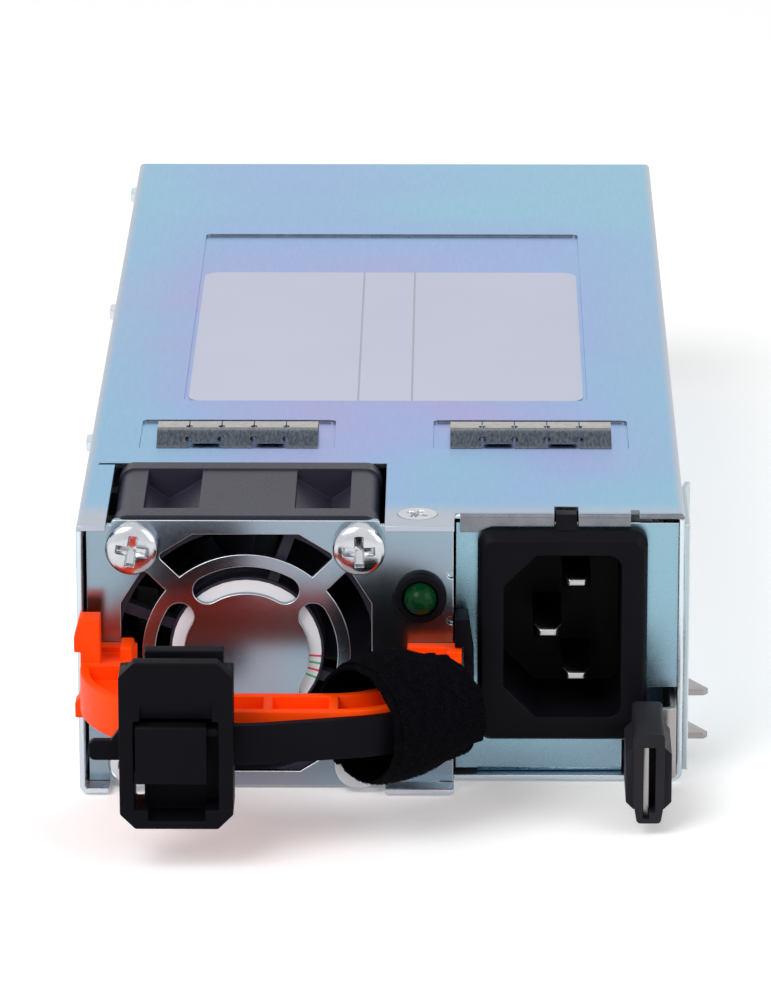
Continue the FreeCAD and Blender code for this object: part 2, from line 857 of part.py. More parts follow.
# Fan
def fan_frame():
    half_size = fan_size / 2
    left = fan_x - half_size
    right = fan_x + half_size
    saddle = rectangle(left, right, seat_gap, case_height + fan_proud)
    square = rectangle(left, right, fan_z - half_size, fan_z + half_size)
    frame = slab("xz", fan_front, fan_step, saddle, fan_corner)
    frame = frame.fuse(slab("xz", fan_step, fan_rear, square, fan_corner))
    tunnel = [(fan_bore / 2, fan_front - 1), (fan_bore / 2, fan_rear + 1)]
    frame = frame.cut(ringed("xz", fan_x, fan_z, tunnel, 60))
    y0 = fan_front + pocket_front
    y1 = fan_step - pocket_rear
    outside = fan_z + case_height
    top = case_height + fan_proud
    waist = slab("xz", y0, y1, rectangle(left - 1, right + 1, -1, top + 1))
    frame = frame.cut(waist.cut(slab("xz", y0, y1, rectangle(
        left + fan_waist, right - fan_waist, seat_gap + fan_waist, top - fan_waist), fan_corner)))
    pockets = []
    for quarter in range(4):
        for side in (-1, 1):
            near = fan_x + side * fan_pad
            valley = fan_x + side * (fan_pad + pocket_valley)
            far = fan_x + side * (fan_pad + pocket_width)
            rim = fan_z + half_size
            corners = [(near, outside), (near, rim - pocket_edge), (valley, rim - pocket_floor),
                       (far, rim - pocket_lip), (far, outside)]
            pocket = slab("xz", y0, y1, corners)
            pocket.rotate(Vector(fan_x, 0, fan_z), Vector(0, 1, 0), 90 * quarter)
            pockets.append(pocket)
    frame = frame.cut(Part.makeCompound(pockets))
    hub_front = fan_front + label_thickness + seat_gap
    hub_back = fan_front + fan_front_flange
    bearing_end = fan_rear - fan_rear_flange
    hub = ringed("xz", fan_x, fan_z, [(hub_radius, hub_front), (hub_radius, hub_back),
                                      (bearing_radius, hub_back), (bearing_radius, bearing_end)], 36)
    struts = []
    strut_half = strut_width / 2
    for quarter in range(4):
        strut = box(fan_x + hub_radius - 1, fan_x + fan_bore / 2 + bore_wall / 2, fan_front + strut_half,
                    hub_back, fan_z - strut_half, fan_z + strut_half)
        strut.rotate(Vector(fan_x, 0, fan_z), Vector(0, 1, 0), 90 * quarter + 20)
        struts.append(strut)
    frame = frame.fuse([hub] + struts)
    frame = frame.cut(rod_y(fan_x, fan_front + 2 * sheet, fan_rear, fan_z, shaft_radius + running_fit))
    return frame.cut(Part.makeCompound(fan_holes(fan_front - 1, y0, fan_screw_core + seat_gap)))


def fan_rotor():
    cup_front = fan_front + fan_front_flange + cup_clearance
    cup_back = fan_rear - fan_rear_flange + cup_overhang
    cup_floor = cup_back - cup_wall
    inside = hub_radius - cup_wall
    cup = ringed("xz", fan_x, fan_z, [(inside, cup_floor), (inside, cup_front), (hub_radius, cup_front),
                                      (hub_radius, cup_back)], 36)
    shaft = rod_y(fan_x, cup_front, cup_floor + cup_wall / 2, fan_z, shaft_radius)
    middle = (cup_front + cup_back) / 2
    thick = blade_thickness / 2
    tip = math.sqrt((fan_bore / 2 - blade_tip_gap) ** 2 - (blade_lean_tip + thick) ** 2)
    sections = []
    for radius, lean in ((hub_radius - cup_wall / 2, blade_lean_root), (tip, blade_lean_tip)):
        ring = []
        for end, edge in ((-1, -1), (1, -1), (1, 1), (-1, 1)):
            ring.append(Vector(fan_x + radius, middle + end * blade_chord / 2,
                               fan_z + end * lean + edge * thick))
        sections.append(ring)
    blades = []
    for index in range(blade_count):
        blade = faceted(sections)
        blade.rotate(Vector(fan_x, 0, fan_z), Vector(0, 1, 0), 360 / blade_count * index)
        blades.append(blade)
    return cup.fuse([shaft] + blades)


def fan_label():
    front = fan_front + seat_gap
    radius = hub_radius - hub_label_margin
    return ringed("xz", fan_x, fan_z, [(radius, front), (radius, front + label_thickness)], 40)


# Status lamp
def lamp_hole():
    return lamp_radius + 2.5 * seat_gap


def lamp_barrel():
    return lamp_hole() + sheet / 2 - seat_gap


def lamp_bezel():
    front = plate_front - bezel_front
    back = plate_back + lamp_depth
    collar = ringed("xz", lamp_x, lamp_z, [
        (bezel_radius * 0.86, front), (bezel_radius, front + bezel_front / 2), (bezel_radius, plate_front),
        (lamp_barrel(), plate_front), (lamp_barrel(), back)], 28)
    hole = lamp_hole()
    return collar.cut(ringed("xz", lamp_x, lamp_z, [(hole, front - 1), (hole, back + 1)], 28))


def status_lamp():
    face = plate_front - bezel_front + seat_gap
    back = plate_back + lamp_depth
    dome = []
    for degrees in (10, 30, 50, 70, 90):
        turn = math.radians(degrees)
        dome.append((lamp_radius * math.sin(turn), face - lamp_radius * math.cos(turn)))
    body = ringed("xz", lamp_x, lamp_z, dome + [(lamp_radius, back)], 24)
    foot = lamp_radius + 2 * seat_gap
    flange_back = back + 2 * lamp_leg
    flange = box(lamp_x - foot, lamp_x + foot, back, flange_back, lamp_z - foot, lamp_z + foot)
    legs = []
    for side in (-1, 1):
        x = lamp_x + side * lamp_leg_pitch / 2
        legs.append(box(x - lamp_leg / 2, x + lamp_leg / 2, flange_back, flange_back + lamp_leg_length,
                        lamp_z - lamp_leg / 2, lamp_z + lamp_leg / 2))
    return body.fuse([flange] + legs)


# Mains inlet
def inlet_housing():
    left = inlet_x - inlet_width / 2
    right = inlet_x + inlet_width / 2
    high = inlet_top()
    low = high - inlet_height
    bevel = inlet_bevel
    face = Part.Face(outline("xz", inlet_front + bevel, rectangle(left, right, low, high), inlet_corner))
    bezel = face.extrude(Vector(0, inlet_proud - bevel, 0))
    rim = [outline("xz", inlet_front + bevel, rectangle(left, right, low, high), inlet_corner),
           outline("xz", inlet_front, rectangle(left + bevel / 2, right - bevel / 2, low + bevel / 2,
                                                high - bevel), inlet_corner)]
    bezel = bezel.fuse(Part.makeLoft(rim, True, True))
    half_width = inlet_body_width / 2
    half_height = inlet_body_height / 2
    body = box(inlet_x - half_width, inlet_x + half_width, panel_front, panel_front + inlet_body_depth,
               inlet_z - half_height, inlet_z + half_height)
    snap_x = inlet_x + snap_shift
    snap = slab("yz", snap_x - snap_width / 2, snap_x + snap_width / 2, [
        (inlet_front + bevel, high - 1), (panel_back + sheet, high - 1),
        (panel_back + sheet, case_height - 2 * seat_gap),
        (panel_front - sheet, case_height - 2 * seat_gap)])
    snap = snap.cut(box(left, right, panel_front, panel_back + seat_gap, 0,
                        cover_under - sheet + seat_gap))
    housing = bezel.fuse([body, snap])
    a = socket_width / 2
    b = socket_height / 2
    cut_x = inlet_x - a + socket_chamfer
    corners = [(inlet_x - a, inlet_z - b + socket_chamfer, socket_edge), (cut_x, inlet_z - b, socket_edge),
               (inlet_x + a, inlet_z - b, socket_round), (inlet_x + a, inlet_z + b, socket_round),
               (cut_x, inlet_z + b, socket_edge), (inlet_x - a, inlet_z + b - socket_chamfer, socket_edge)]
    housing = housing.cut(slab("xz", inlet_front - 1, inlet_front + socket_depth, corners))
    for x, z in pin_places():
        housing = housing.cut(box(x - pin_width / 2, x + pin_width / 2, inlet_front,
                                  panel_front + inlet_body_depth + 1,
                                  z - pin_thick / 2, z + pin_thick / 2))
    return housing


def pin_places():
    live_x = inlet_x + pin_offset
    return [(live_x, inlet_z + pin_pitch / 2), (live_x, inlet_z - pin_pitch / 2),
            (live_x - 2 * pin_offset, inlet_z)]


def inlet_pins():
    back = panel_front + inlet_body_depth + 1
    a = pin_width / 2
    b = pin_thick / 2
    flat = terminal_thick / 2
    pins = []
    for index, (x, z) in enumerate(pin_places()):
        tip = inlet_front + pin_recess
        if index == 2:
            tip -= earth_lead
        neck = tip + pin_taper
        wide = slab("xy", z - b, z + b, [
            (x - a, back), (x - a, neck), (x - a + pin_point, tip), (x + a - pin_point, tip), (x + a, neck),
            (x + a, back)])
        thin = slab("yz", x - a, x + a, [
            (back, z - b), (neck, z - b), (tip, z - flat), (tip, z + flat), (neck, z + b), (back, z + b)])
        terminal = box(x - a, x + a, back, back - 1 + blade_terminal, z - flat, z + flat)
        pins.append(wide.common(thin).fuse(terminal))
    return Part.makeCompound(pins)


# Pull handle
def handle_loop(inset, z0, z1, left_end, right_end):
    outer_left = handle_left + inset
    outer_right = handle_right - inset
    front = -handle_reach + inset
    back = -handle_reach + handle_bar - inset
    inner_left = handle_left + handle_bar - inset
    inner_right = handle_right - handle_bar + inset
    outer_bend = handle_corner - inset
    inner_bend = handle_corner - handle_bar + inset
    corners = [(outer_left, left_end), (outer_left, front, outer_bend),
               (outer_right, front, outer_bend), (outer_right, right_end),
               (inner_right, right_end), (inner_right, back, inner_bend),
               (inner_left, back, inner_bend), (inner_left, left_end)]
    return slab("xy", z0, z1, corners)


def pull_handle():
    handle = handle_loop(0, handle_bottom, handle_top, plate_front, plate_front)
    wall_edge = -2 * seat_gap
    wall_side = -inner_half + 2 * seat_gap
    handle = handle.cut(box(handle_left - 1, wall_side, wall_edge, plate_front + 1, 0, case_height))
    pocket_depth = (handle_height - handle_web) / 2
    pocket_end = -handle_reach + handle_corner + handle_rim / 2
    middle = (handle_left + handle_right) / 2
    ribs = []
    for step in (-1, 0, 1):
        x = middle + step * handle_rib_pitch
        ribs.append(box(x - handle_rib / 2, x + handle_rib / 2, -handle_reach,
                        -handle_reach + handle_bar, 0, case_height))
    for z0, z1 in ((handle_top - pocket_depth, handle_top + 1),
                   (handle_bottom - 1, handle_bottom + pocket_depth)):
        pocket = handle_loop(handle_rim, z0, z1, pocket_end, pocket_end)
        handle = handle.cut(pocket.cut(Part.makeCompound(ribs)))
    heel_front = plate_front - heel_thick
    inner_left = handle_left + handle_bar
    inner_right = handle_right - handle_bar
    flange_side = plate_right + 2 * seat_gap
    fixings = [
        box(wall_side, inner_left, heel_front, plate_front, handle_bottom, heel_top),
        box(inner_right, handle_right, heel_front, plate_front, handle_bottom, heel_top),
        box(handle_right - heel_block, handle_right, -heel_reach, plate_front, handle_bottom, heel_top),
        box(flange_side, handle_right, -heel_reach, panel_front - sheet, handle_bottom, heel_top)]
    left = -half - 3 * seat_gap
    right = handle_left + hook_width
    fixings.append(slab("xz", -hook_depth, wall_edge, [
        (left, handle_top + hook_step), (left, handle_top + hook_knee),
        (left + hook_slope, handle_top + hook_height), (right, handle_top + hook_height),
        (right, handle_top - 1), (handle_left, handle_top - 1), (handle_left, handle_top + hook_step)]))
    hook_low = handle_bottom - low_hook_drop
    fixings.append(slab("xz", -low_hook_depth, wall_edge, [
        (left, hook_low), (left, handle_bottom), (handle_left, handle_bottom + 1),
        (right, handle_bottom + 1), (right - 2 * hook_slope, hook_low)]))
    peg_left = fan_x - grille_square + seat_gap
    peg_top = handle_top + peg_rise
    peg_back = plate_back + peg_barb
    fixings.append(slab("yz", peg_left, peg_left + peg_width, [
        (-peg_reach, handle_top - 1), (peg_back, handle_top - 1), (peg_back, peg_top - heel_rise),
        (plate_front - 1, peg_top), (-peg_reach, peg_top)]))
    return handle.fuse(fixings)


# Cord strap, slider and flap
def strap_path():
    middle_y = -strap_front + strap_thick / 2
    outside = handle_right + strap_gap + strap_thick / 2
    bend_x = strap_tail + strap_straight
    run_x = handle_right - handle_corner - bend_x
    run_y = handle_corner - handle_reach - middle_y
    tilt = math.acos(strap_bend() / math.hypot(run_x, run_y)) - math.atan2(run_x, run_y)
    rise = (outside - bend_x) * math.tan(tilt)
    return [(strap_shoulder, middle_y), (bend_x, middle_y), (outside, middle_y + rise),
            (outside, panel_front - strap_thick)]


def strap_bend():
    return handle_corner + strap_gap + strap_thick / 2


def strap_peg(grow):
    x0 = plate_right - plate_sheet - 1
    x1 = handle_right + strap_gap + strap_thick / 2
    y = panel_front - strap_thick - strap_peg_inset
    return rod_x(x0, x1, y, heel_top + 2 * seat_gap + strap_peg_rise, strap_peg_radius + grow)


def ratchet_strap():
    strap = ribbon("xy", strap_bottom, strap_top, strap_path(), strap_thick, strap_bend())
    back = -strap_front + strap_thick
    tail = slab("xz", -strap_front, back, [
        (strap_tail, tail_bottom, strap_tail_round), (strap_shoulder, tail_bottom),
        (strap_shoulder, strap_top), (strap_shoulder - shoulder_run, tail_top),
        (strap_tail, tail_top, strap_tail_round)])
    strap = strap.fuse(tail)
    teeth = []
    x = strap_shoulder + tooth_pitch
    while x < strap_tail + strap_straight - 2 * tooth_pitch:
        teeth.append(slab("xy", tail_bottom, tail_top, [
            (x, back + tooth_depth), (x, back - tooth_depth), (x + tooth_pitch, back + tooth_depth)]))
        x += tooth_pitch
    strap = strap.cut(Part.makeCompound(teeth))
    inside = handle_right + strap_gap
    outside = inside + strap_thick
    end_y = strap_path()[-1][1]
    head_left = plate_right + 2 * seat_gap
    head_low = heel_top + 2 * seat_gap
    head_high = head_low + head_height
    head = slab("xz", end_y - head_length, end_y, [
        (inside, strap_bottom), (outside, strap_bottom), (outside, strap_top),
        (outside - head_slope, head_high), (head_left, head_high), (head_left, head_low),
        (inside, head_low)])
    return strap.fuse([head, strap_peg(0)])


def flap_pin_place():
    return -slider_front + flap_thick * 0.85, flap_bottom + flap_height - flap_pin_drop


def strap_slider():
    left = slider_x - slider_width / 2
    right = slider_x + slider_width / 2
    top = slider_bottom + slider_height
    front = -slider_front
    back = front + slider_depth
    c = slider_chamfer
    corners = [(left + c, slider_bottom), (right - c, slider_bottom), (right, slider_bottom + c),
               (right, top - c), (right - c, top), (left + c, top), (left, top - c),
               (left, slider_bottom + c)]
    slider = slab("xz", front, back, corners)
    groove_back = front + groove_front + groove_width
    lip_left = slider_x + lip_shift - lip_width / 2
    lip_right = lip_left + lip_width
    slider = slider.fuse(box(lip_left, lip_right, groove_back, back, top - 1, top + lip_rise))
    window_left = slider_x - window_width / 2
    window_right = slider_x + window_width / 2
    window_top = flap_bottom + flap_height + 2 * slide_gap
    channel_front = -strap_front - slide_gap
    channel_back = -strap_front + strap_thick + slide_gap
    scoop = slab("yz", slider_x - scoop_width / 2, slider_x + scoop_width / 2, [
        (front - seat_gap, window_top + scoop_height), (front + scoop_depth, window_top),
        (front - seat_gap, window_top)])
    cuts = [
        scoop,
        box(window_left, window_right, front - 1, channel_back, window_bottom, window_top),
        box(left - 1, right + 1, channel_front, channel_back, strap_bottom - slide_gap,
            strap_top + slide_gap),
        box(window_left, window_left + window_slot, channel_front, back + 1, window_bottom,
            flap_bottom - slide_gap),
        box(slider_x - notch_width / 2, slider_x + notch_width / 2, front - 1, channel_back, notch_bottom,
            window_bottom + 1),
        box(left - 1, right + 1, front + groove_front, groove_back, top - groove_depth, top + 1),
        box(left - 1, lip_left, groove_back, back + 1, top - c, top + 1),
        box(lip_right, right + 1, groove_back, back + 1, top - c, top + 1)]
    for cut in cuts:
        slider = slider.cut(cut)
    pin_y, pin_z = flap_pin_place()
    bore = rod_x(window_left - slider_wall / 2, window_right + slider_wall / 2, pin_y, pin_z,
                 flap_pin_radius)
    return slider.cut(bore)


def flap_pin():
    pin_y, pin_z = flap_pin_place()
    reach = window_width / 2 + slider_wall / 2
    return rod_x(slider_x - reach, slider_x + reach, pin_y, pin_z, flap_pin_radius)


def release_flap():
    left = slider_x - window_width / 2 + flap_side_gap
    right = left + flap_width
    front = -slider_front - slide_gap
    back = front + flap_thick
    top = flap_bottom + flap_height
    pin_y, pin_z = flap_pin_place()
    tip = -strap_front - 2 * slide_gap
    pawl_top = pin_z - pawl_drop
    tip_top = pawl_top - pawl_slope
    tip_low = tip_top - pawl_tip
    section = [(front, flap_bottom, flap_edge), (front, top, flap_edge), (back, top, flap_edge),
               (back, pawl_top), (tip, tip_top), (tip, tip_low), (back, tip_low - pawl_back),
               (back, flap_bottom)]
    flap = slab("yz", left, right, section)
    knuckle = rod_x(left, right, pin_y, pin_z, flap_pin_radius + knuckle_wall)
    return flap.fuse(knuckle).cut(rod_x(left - 1, right + 1, pin_y, pin_z, flap_pin_radius + running_fit))


def hook_and_loop_band():
    turn = math.radians(band_turn)
    outward = Vector(math.sin(turn), -math.cos(turn), 0)
    corner = Vector(handle_right - handle_corner, handle_corner - handle_reach, band_z)
    middle = corner + outward * (handle_corner - band_inset)
    end = band_width / 2
    inside = band_radius - band_wall
    roll = ringed("yz", 0, 0, [(band_radius, -end), (band_radius, end)], 40)
    roll = roll.cut(ringed("yz", 0, 0, [(inside, -end - 1), (inside, end + 1)], 40))
    roll.rotate(Vector(0, 0, 0), Vector(0, 0, 1), band_turn)
    roll.translate(middle)
    return roll


# Side latch
def latch_spring():
    web_x = latch_outer - latch_sheet / 2
    path = [(web_x, latch_web_back), (web_x, latch_jog_y), (latch_blade_x, latch_jog_y),
            (latch_blade_x, -tab_front + tab_wall)]
    web = ribbon("xy", latch_bottom, latch_top, path, latch_sheet, latch_sheet)
    middle = (latch_bottom + latch_top) / 2
    leaf_low = middle - latch_leaf_height / 2
    leaf_high = middle + latch_leaf_height / 2
    leaf_front = latch_web_back + latch_leaf_taper
    leaf_back = latch_pivot_y + leaf_end
    leaf = slab("yz", latch_inner, latch_outer, [
        (latch_web_back - 1, latch_bottom), (leaf_front, leaf_low), (leaf_back, leaf_low, 1),
        (leaf_back, leaf_high, 1), (leaf_front, leaf_high), (latch_web_back - 1, latch_top)])
    tip_x = half + barb_reach
    barbs = []
    for barb_z in (barb_low, barb_high):
        barbs.append(slab("xy", barb_z - latch_sheet / 2, barb_z + latch_sheet / 2, [
            (latch_inner, barb_front), (tip_x - 1, barb_front), (tip_x - barb_tip, barb_front + barb_nose),
            (latch_outer + barb_root, barb_front + barb_length), (latch_inner, barb_front + barb_length)]))
    latch = web.fuse([leaf] + barbs)
    for z in rivet_heights():
        latch = latch.cut(rod_x(latch_inner - 1, latch_outer + 1, latch_pivot_y, z,
                                rivet_radius + seat_gap))
    return latch


def rivet_heights():
    middle = (latch_bottom + latch_top) / 2
    return (middle - latch_leaf_height / 4, middle + latch_leaf_height / 4)


def latch_rivets():
    rivets = []
    head_radius = min(rivet_head, latch_leaf_height / 4 - seat_gap)
    face = latch_inner - 2 * seat_gap
    profile = [(head_radius, face - rivet_radius), (head_radius, face), (rivet_radius, face),
               (rivet_radius, inner_half)]
    for z in rivet_heights():
        rivets.append(ringed("yz", latch_pivot_y, z, profile, 16))
    return Part.makeCompound(rivets)


def latch_tab():
    centre = latch_blade_x + tab_shift
    left = centre - tab_width / 2
    right = centre + tab_width / 2
    top = tab_bottom + tab_height
    shoulder = tab_bottom + tab_shoulder
    sheath = slab("xz", -tab_front, -tab_back, [
        (left + tab_taper, tab_bottom, tab_edge), (right - tab_taper, tab_bottom, tab_edge),
        (right, shoulder, tab_edge), (right, top, tab_edge), (left, top, tab_edge),
        (left, shoulder, tab_edge)])
    wing_low = tab_bottom + wing_bottom
    wing_high = top - wing_top
    grip = slab("xz", -tab_front + wing_setback, -tab_back - wing_setback, [
        (left - wing, wing_low + wing), (left, wing_low), (right, wing_low),
        (right + wing, wing_low + wing), (right + wing, wing_high - wing), (right, wing_high),
        (left, wing_high), (left - wing, wing_high - wing)])
    blade_left = latch_blade_x - latch_sheet / 2
    blade_right = latch_blade_x + latch_sheet / 2
    slot = box(blade_left, blade_right, -tab_front - 1, 0, latch_bottom, latch_top)
    window = box(blade_right - seat_gap, blade_right + tab_window, -tab_front - 1,
                 -tab_front + tab_window_depth, latch_bottom + 1, latch_top)
    return sheath.fuse(grip).cut(slot.fuse(window))


# Main board, its fixings and the pieces that stand on it
def board_hole_places():
    sides = (board_left + hole_side, board_right - hole_side)
    ends = (board_front + hole_front, case_depth - hole_back)
    return [(x, y) for x in sides for y in ends]


def main_board():
    tongue = edge_width / 2
    back = case_depth - 4 * sheet
    corners = [(board_left, board_front), (board_right, board_front), (board_right, back), (tongue, back),
               (tongue, case_depth + edge_reach, 0.8), (-tongue, case_depth + edge_reach, 0.8),
               (-tongue, back), (board_left, back)]
    board = slab("xy", board_bottom, board_top, corners)
    for x, y in board_hole_places():
        board = board.cut(rod_z(x, y, 0, case_height, screw_core + seat_gap))
    return board


def insulating_sheet():
    edge = inner_half - bend_radius
    blank = slab("xy", sheet, sheet + insulator, rectangle(-edge, latch_inner - 3, board_front - 2,
                                                           case_depth - 5 * sheet), 2)
    for x, y in board_hole_places():
        blank = blank.cut(hexagon(x, y, 0, case_height, standoff_radius + seat_gap))
    return blank


def hexagon(x, y, z0, z1, radius):
    return slab("xy", z0, z1, [(x + radius * math.cos(math.radians(60 * k)),
                                y + radius * math.sin(math.radians(60 * k)))
                               for k in range(6)])


def standoffs():
    posts = []
    for x, y in board_hole_places():
        post = hexagon(x, y, sheet, board_bottom, standoff_radius)
        thread = hexagon(x, y, board_bottom - thread_depth, case_height, screw_core + 2 * seat_gap)
        posts.append(post.cut(thread))
    return Part.makeCompound(posts)


def board_screws():
    profile = [(screw_core, board_bottom - screw_bite), (screw_core, board_top), (screw_head, board_top),
               (screw_head, board_top + screw_rise)]
    return Part.makeCompound([ringed("xy", x, y, profile, 12) for x, y in board_hole_places()])


def toroid(x, y, z, outer, inner, width):
    front = y - width / 2
    back = y + width / 2
    ring = ringed("xz", x, z, [(outer, front), (outer, back)], 24)
    return ring.cut(ringed("xz", x, z, [(inner, front - 1), (inner, back + 1)], 24))


def choke(x, y, outer, inner, width):
    seat = board_top + 1.2
    base = box(x - outer, x + outer, y - width / 2, y + width / 2, board_top, seat + 1)
    ring = toroid(x, y, seat + outer, outer, inner, width)
    return ring.fuse(base)


def box_part(x, y, width, length, height):
    return box(x - width / 2, x + width / 2, y - length / 2, y + length / 2, board_top,
               board_top + height)


def cans(places, radius, height):
    profile = [(radius, board_top), (radius, board_top + height)]
    return Part.makeCompound([ringed("xy", x, y, profile, 24) for x, y in places])


def finned_sink(x, places, side):
    fin_reach = 1.5 * sink_wall
    fin = sink_wall / 3
    wall = x + side * sink_wall
    corners = [(x, board_top), (wall, board_top)]
    pitch = sink_height / sink_fins
    for index in range(sink_fins):
        z = board_top + (index + 0.5) * pitch
        corners += [(wall, z), (wall + side * fin_reach, z), (wall + side * fin_reach, z + fin),
                    (wall, z + fin)]
    corners += [(wall, board_top + sink_height), (x, board_top + sink_height)]
    return slab("xz", min(places) - sink_overhang, max(places) + sink_overhang, corners)


def transistors(x, places, side):
    half_width = transistor_width / 2
    low = board_top + half_width
    high = low + 3 * half_width
    leg = transistor_leg / 2
    leg_x = x - side * transistor_thick / 2
    bodies = []
    for y in places:
        sides = sorted((x, x - side * transistor_thick))
        body = box(*sides, y - half_width, y + half_width, low, high)
        tab_sides = sorted((x, x - side * transistor_tab))
        pieces = [box(*tab_sides, y - half_width, y + half_width, high, high + half_width / 2)]
        for step in (-1, 0, 1):
            leg_y = y + step * transistor_pitch
            pieces.append(box(leg_x - leg, leg_x + leg, leg_y - leg, leg_y + leg, board_top, low))
        bodies.append(body.fuse(pieces))
    return Part.makeCompound(bodies)


def wound_core(y, x, width, length, room, leg):
    height = board_room - room
    core = box_part(x, y, width, length, height)
    window = box(x - width / 2 + leg, x + width / 2 - leg, y - length, y + length, board_top + leg,
                 board_top + height - leg)
    post = box(x - leg, x + leg, y - length, y + length, board_top, board_top + height)
    return core.cut(window.cut(post))


def winding(y, x, width, length, room, leg):
    height = board_room - room
    side = width / 2 - leg - seat_gap
    middle = board_top + height / 2
    rise = height / 2 - leg - seat_gap
    reach = length / 2 + leg / 2
    coil = box(x - side, x + side, y - reach, y + reach, middle - rise, middle + rise)
    post = leg + seat_gap
    core_half = length / 2 + seat_gap
    return coil.cut(box(x - post, x + post, y - core_half, y + core_half, board_top, board_top + height))


def fuse_link():
    x, front, length, radius, lift = fuse
    z = board_top + radius + lift
    leg = radius / 5
    link = ringed("xz", x, z, [(radius, front), (radius, front + length)], 16)
    legs = []
    for y in (front + radius, front + length - radius):
        legs.append(box(x - leg, x + leg, y - leg, y + leg, board_top, z))
    return link.fuse(legs)


def inlet_wire(index):
    x, z = pin_places()[index]
    back = panel_front + inlet_body_depth + blade_terminal
    drop_y = board_front + (3 - index) * 3 * wire_radius
    return wire([(x, back, z), (x, drop_y - wire_elbow, z), (x, drop_y, z - wire_elbow),
                 (x, drop_y, board_top)],
                wire_radius)


def fan_lead():
    end = fan_socket[0] - fan_socket[2] / 2
    profile = [(lead_radius, fan_rear), (lead_radius, end)]
    return Part.makeCompound([ringed("xz", lead_x + index * lead_pitch, lead_z, profile, 8)
                              for index in range(3)])


def control_board():
    width, length, height = control_card_size
    y = case_depth - control_card_inset
    face = control_card_x + width / 2
    low = board_top + (height - chip_size) / 2
    chips = []
    for step in (-0.8, 0.8):
        chip_y = y + step * chip_size
        chips.append(box(face, face + width, chip_y - chip_size / 2, chip_y + chip_size / 2, low,
                         low + chip_size))
    return box_part(control_card_x, y, width, length, height).fuse(chips)


def place(shape):
    moved = shape.copy()
    moved.translate(Vector(0, -case_depth / 2, 0))
    return moved


nodes = {
    "base_tray": base_tray(),
    "top_cover": top_cover(),
    "fan_plate": fan_plate(),
    "inlet_panel": inlet_panel(),
    "rear_panel": rear_panel(),
    "latch_guide": latch_guide(),
    "guide_rivets": guide_rivets(),
    "contact_strip_left": finger_strip(-1),
    "contact_strip_right": finger_strip(1),
    "rating_label": rating_label(),
    "cover_screw": cover_screw(),
    "fan_screws": fan_screws(),
    "fan_frame": fan_frame(),
    "fan_rotor": fan_rotor(),
    "fan_label": fan_label(),
    "lamp_bezel": lamp_bezel(),
    "status_lamp": status_lamp(),
    "inlet_housing": inlet_housing(),
    "inlet_pins": inlet_pins(),
    "pull_handle": pull_handle(),
    "ratchet_strap": ratchet_strap(),
    "strap_slider": strap_slider(),
    "release_flap": release_flap(),
    "flap_pin": flap_pin(),
    "hook_and_loop_band": hook_and_loop_band(),
    "latch_spring": latch_spring(),
    "latch_tab": latch_tab(),
    "latch_rivets": latch_rivets(),
    "main_board": main_board(),
    "insulating_sheet": insulating_sheet(),
    "board_standoffs": standoffs(),
    "board_screws": board_screws(),
    "common_mode_choke": choke(*choke_place, choke_outer, choke_inner, choke_width),
    "line_capacitor": box_part(*line_capacitor),
    "fuse_link": fuse_link(),
    "inrush_relay": box_part(*inrush_relay),
    "bridge_rectifier": box_part(*bridge_rectifier),
    "boost_choke": wound_core(boost_choke_y, *boost_choke_size),
    "boost_winding": winding(boost_choke_y, *boost_choke_size),
    "bulk_capacitors": cans(bulk_places, capacitor_radius, capacitor_height),
    "primary_heatsink": finned_sink(primary_sink_x, primary_places, -1),
    "primary_transistors": transistors(primary_sink_x, primary_places, -1),
    "main_transformer": wound_core(main_transformer_y, *main_transformer_size),
    "transformer_winding": winding(main_transformer_y, *main_transformer_size),
    "standby_transformer": box_part(*standby_transformer),
    "secondary_heatsink": finned_sink(secondary_sink_x, secondary_places, 1),
    "secondary_transistors": transistors(secondary_sink_x, secondary_places, 1),
    "output_choke": wound_core(case_depth - output_choke_inset, *output_choke_size),
    "output_winding": winding(case_depth - output_choke_inset, *output_choke_size),
    "output_capacitors": cans([(x, output_y) for x in output_row], output_can_radius, output_can_height),
    "control_board": control_board(),
    "inlet_wires": Part.makeCompound([inlet_wire(index) for index in range(3)]),
    "fan_lead": fan_lead(),
    "fan_socket": box_part(lead_x + lead_pitch, *fan_socket),
}

os.makedirs("parts", exist_ok=True)
for name, shape in nodes.items():
    place(shape).exportStep(os.path.join("parts", name + ".step"))
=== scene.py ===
import bpy
import bmesh
import math
import numpy as np
from mathutils import Matrix


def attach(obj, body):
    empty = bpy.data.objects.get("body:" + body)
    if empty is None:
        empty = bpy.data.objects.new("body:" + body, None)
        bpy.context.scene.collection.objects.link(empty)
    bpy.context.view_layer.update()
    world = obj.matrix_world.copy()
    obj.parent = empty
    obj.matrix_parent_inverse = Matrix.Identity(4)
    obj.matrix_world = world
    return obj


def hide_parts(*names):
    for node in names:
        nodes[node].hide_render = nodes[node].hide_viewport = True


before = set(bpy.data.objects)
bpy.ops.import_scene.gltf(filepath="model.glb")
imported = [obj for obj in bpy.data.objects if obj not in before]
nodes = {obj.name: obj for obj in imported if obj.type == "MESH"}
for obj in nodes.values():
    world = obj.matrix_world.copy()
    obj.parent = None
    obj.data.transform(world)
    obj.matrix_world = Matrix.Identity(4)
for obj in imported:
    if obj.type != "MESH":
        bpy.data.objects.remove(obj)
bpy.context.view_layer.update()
mm = 0.001
rng = np.random.default_rng(11)
fanCentre = (-19.07, 20.0)  # x and z of the fan's axis
outward = (0, -1, 0)  # out of the front
print("frame loaded:", len(nodes), "nodes")


# ramp from 0 to 1 between two values, with flat ends
def smoothRamp(value, low, high):
    t = np.clip((value - low) / (high - low), 0, 1)
    return t * t * (3 - 2 * t)


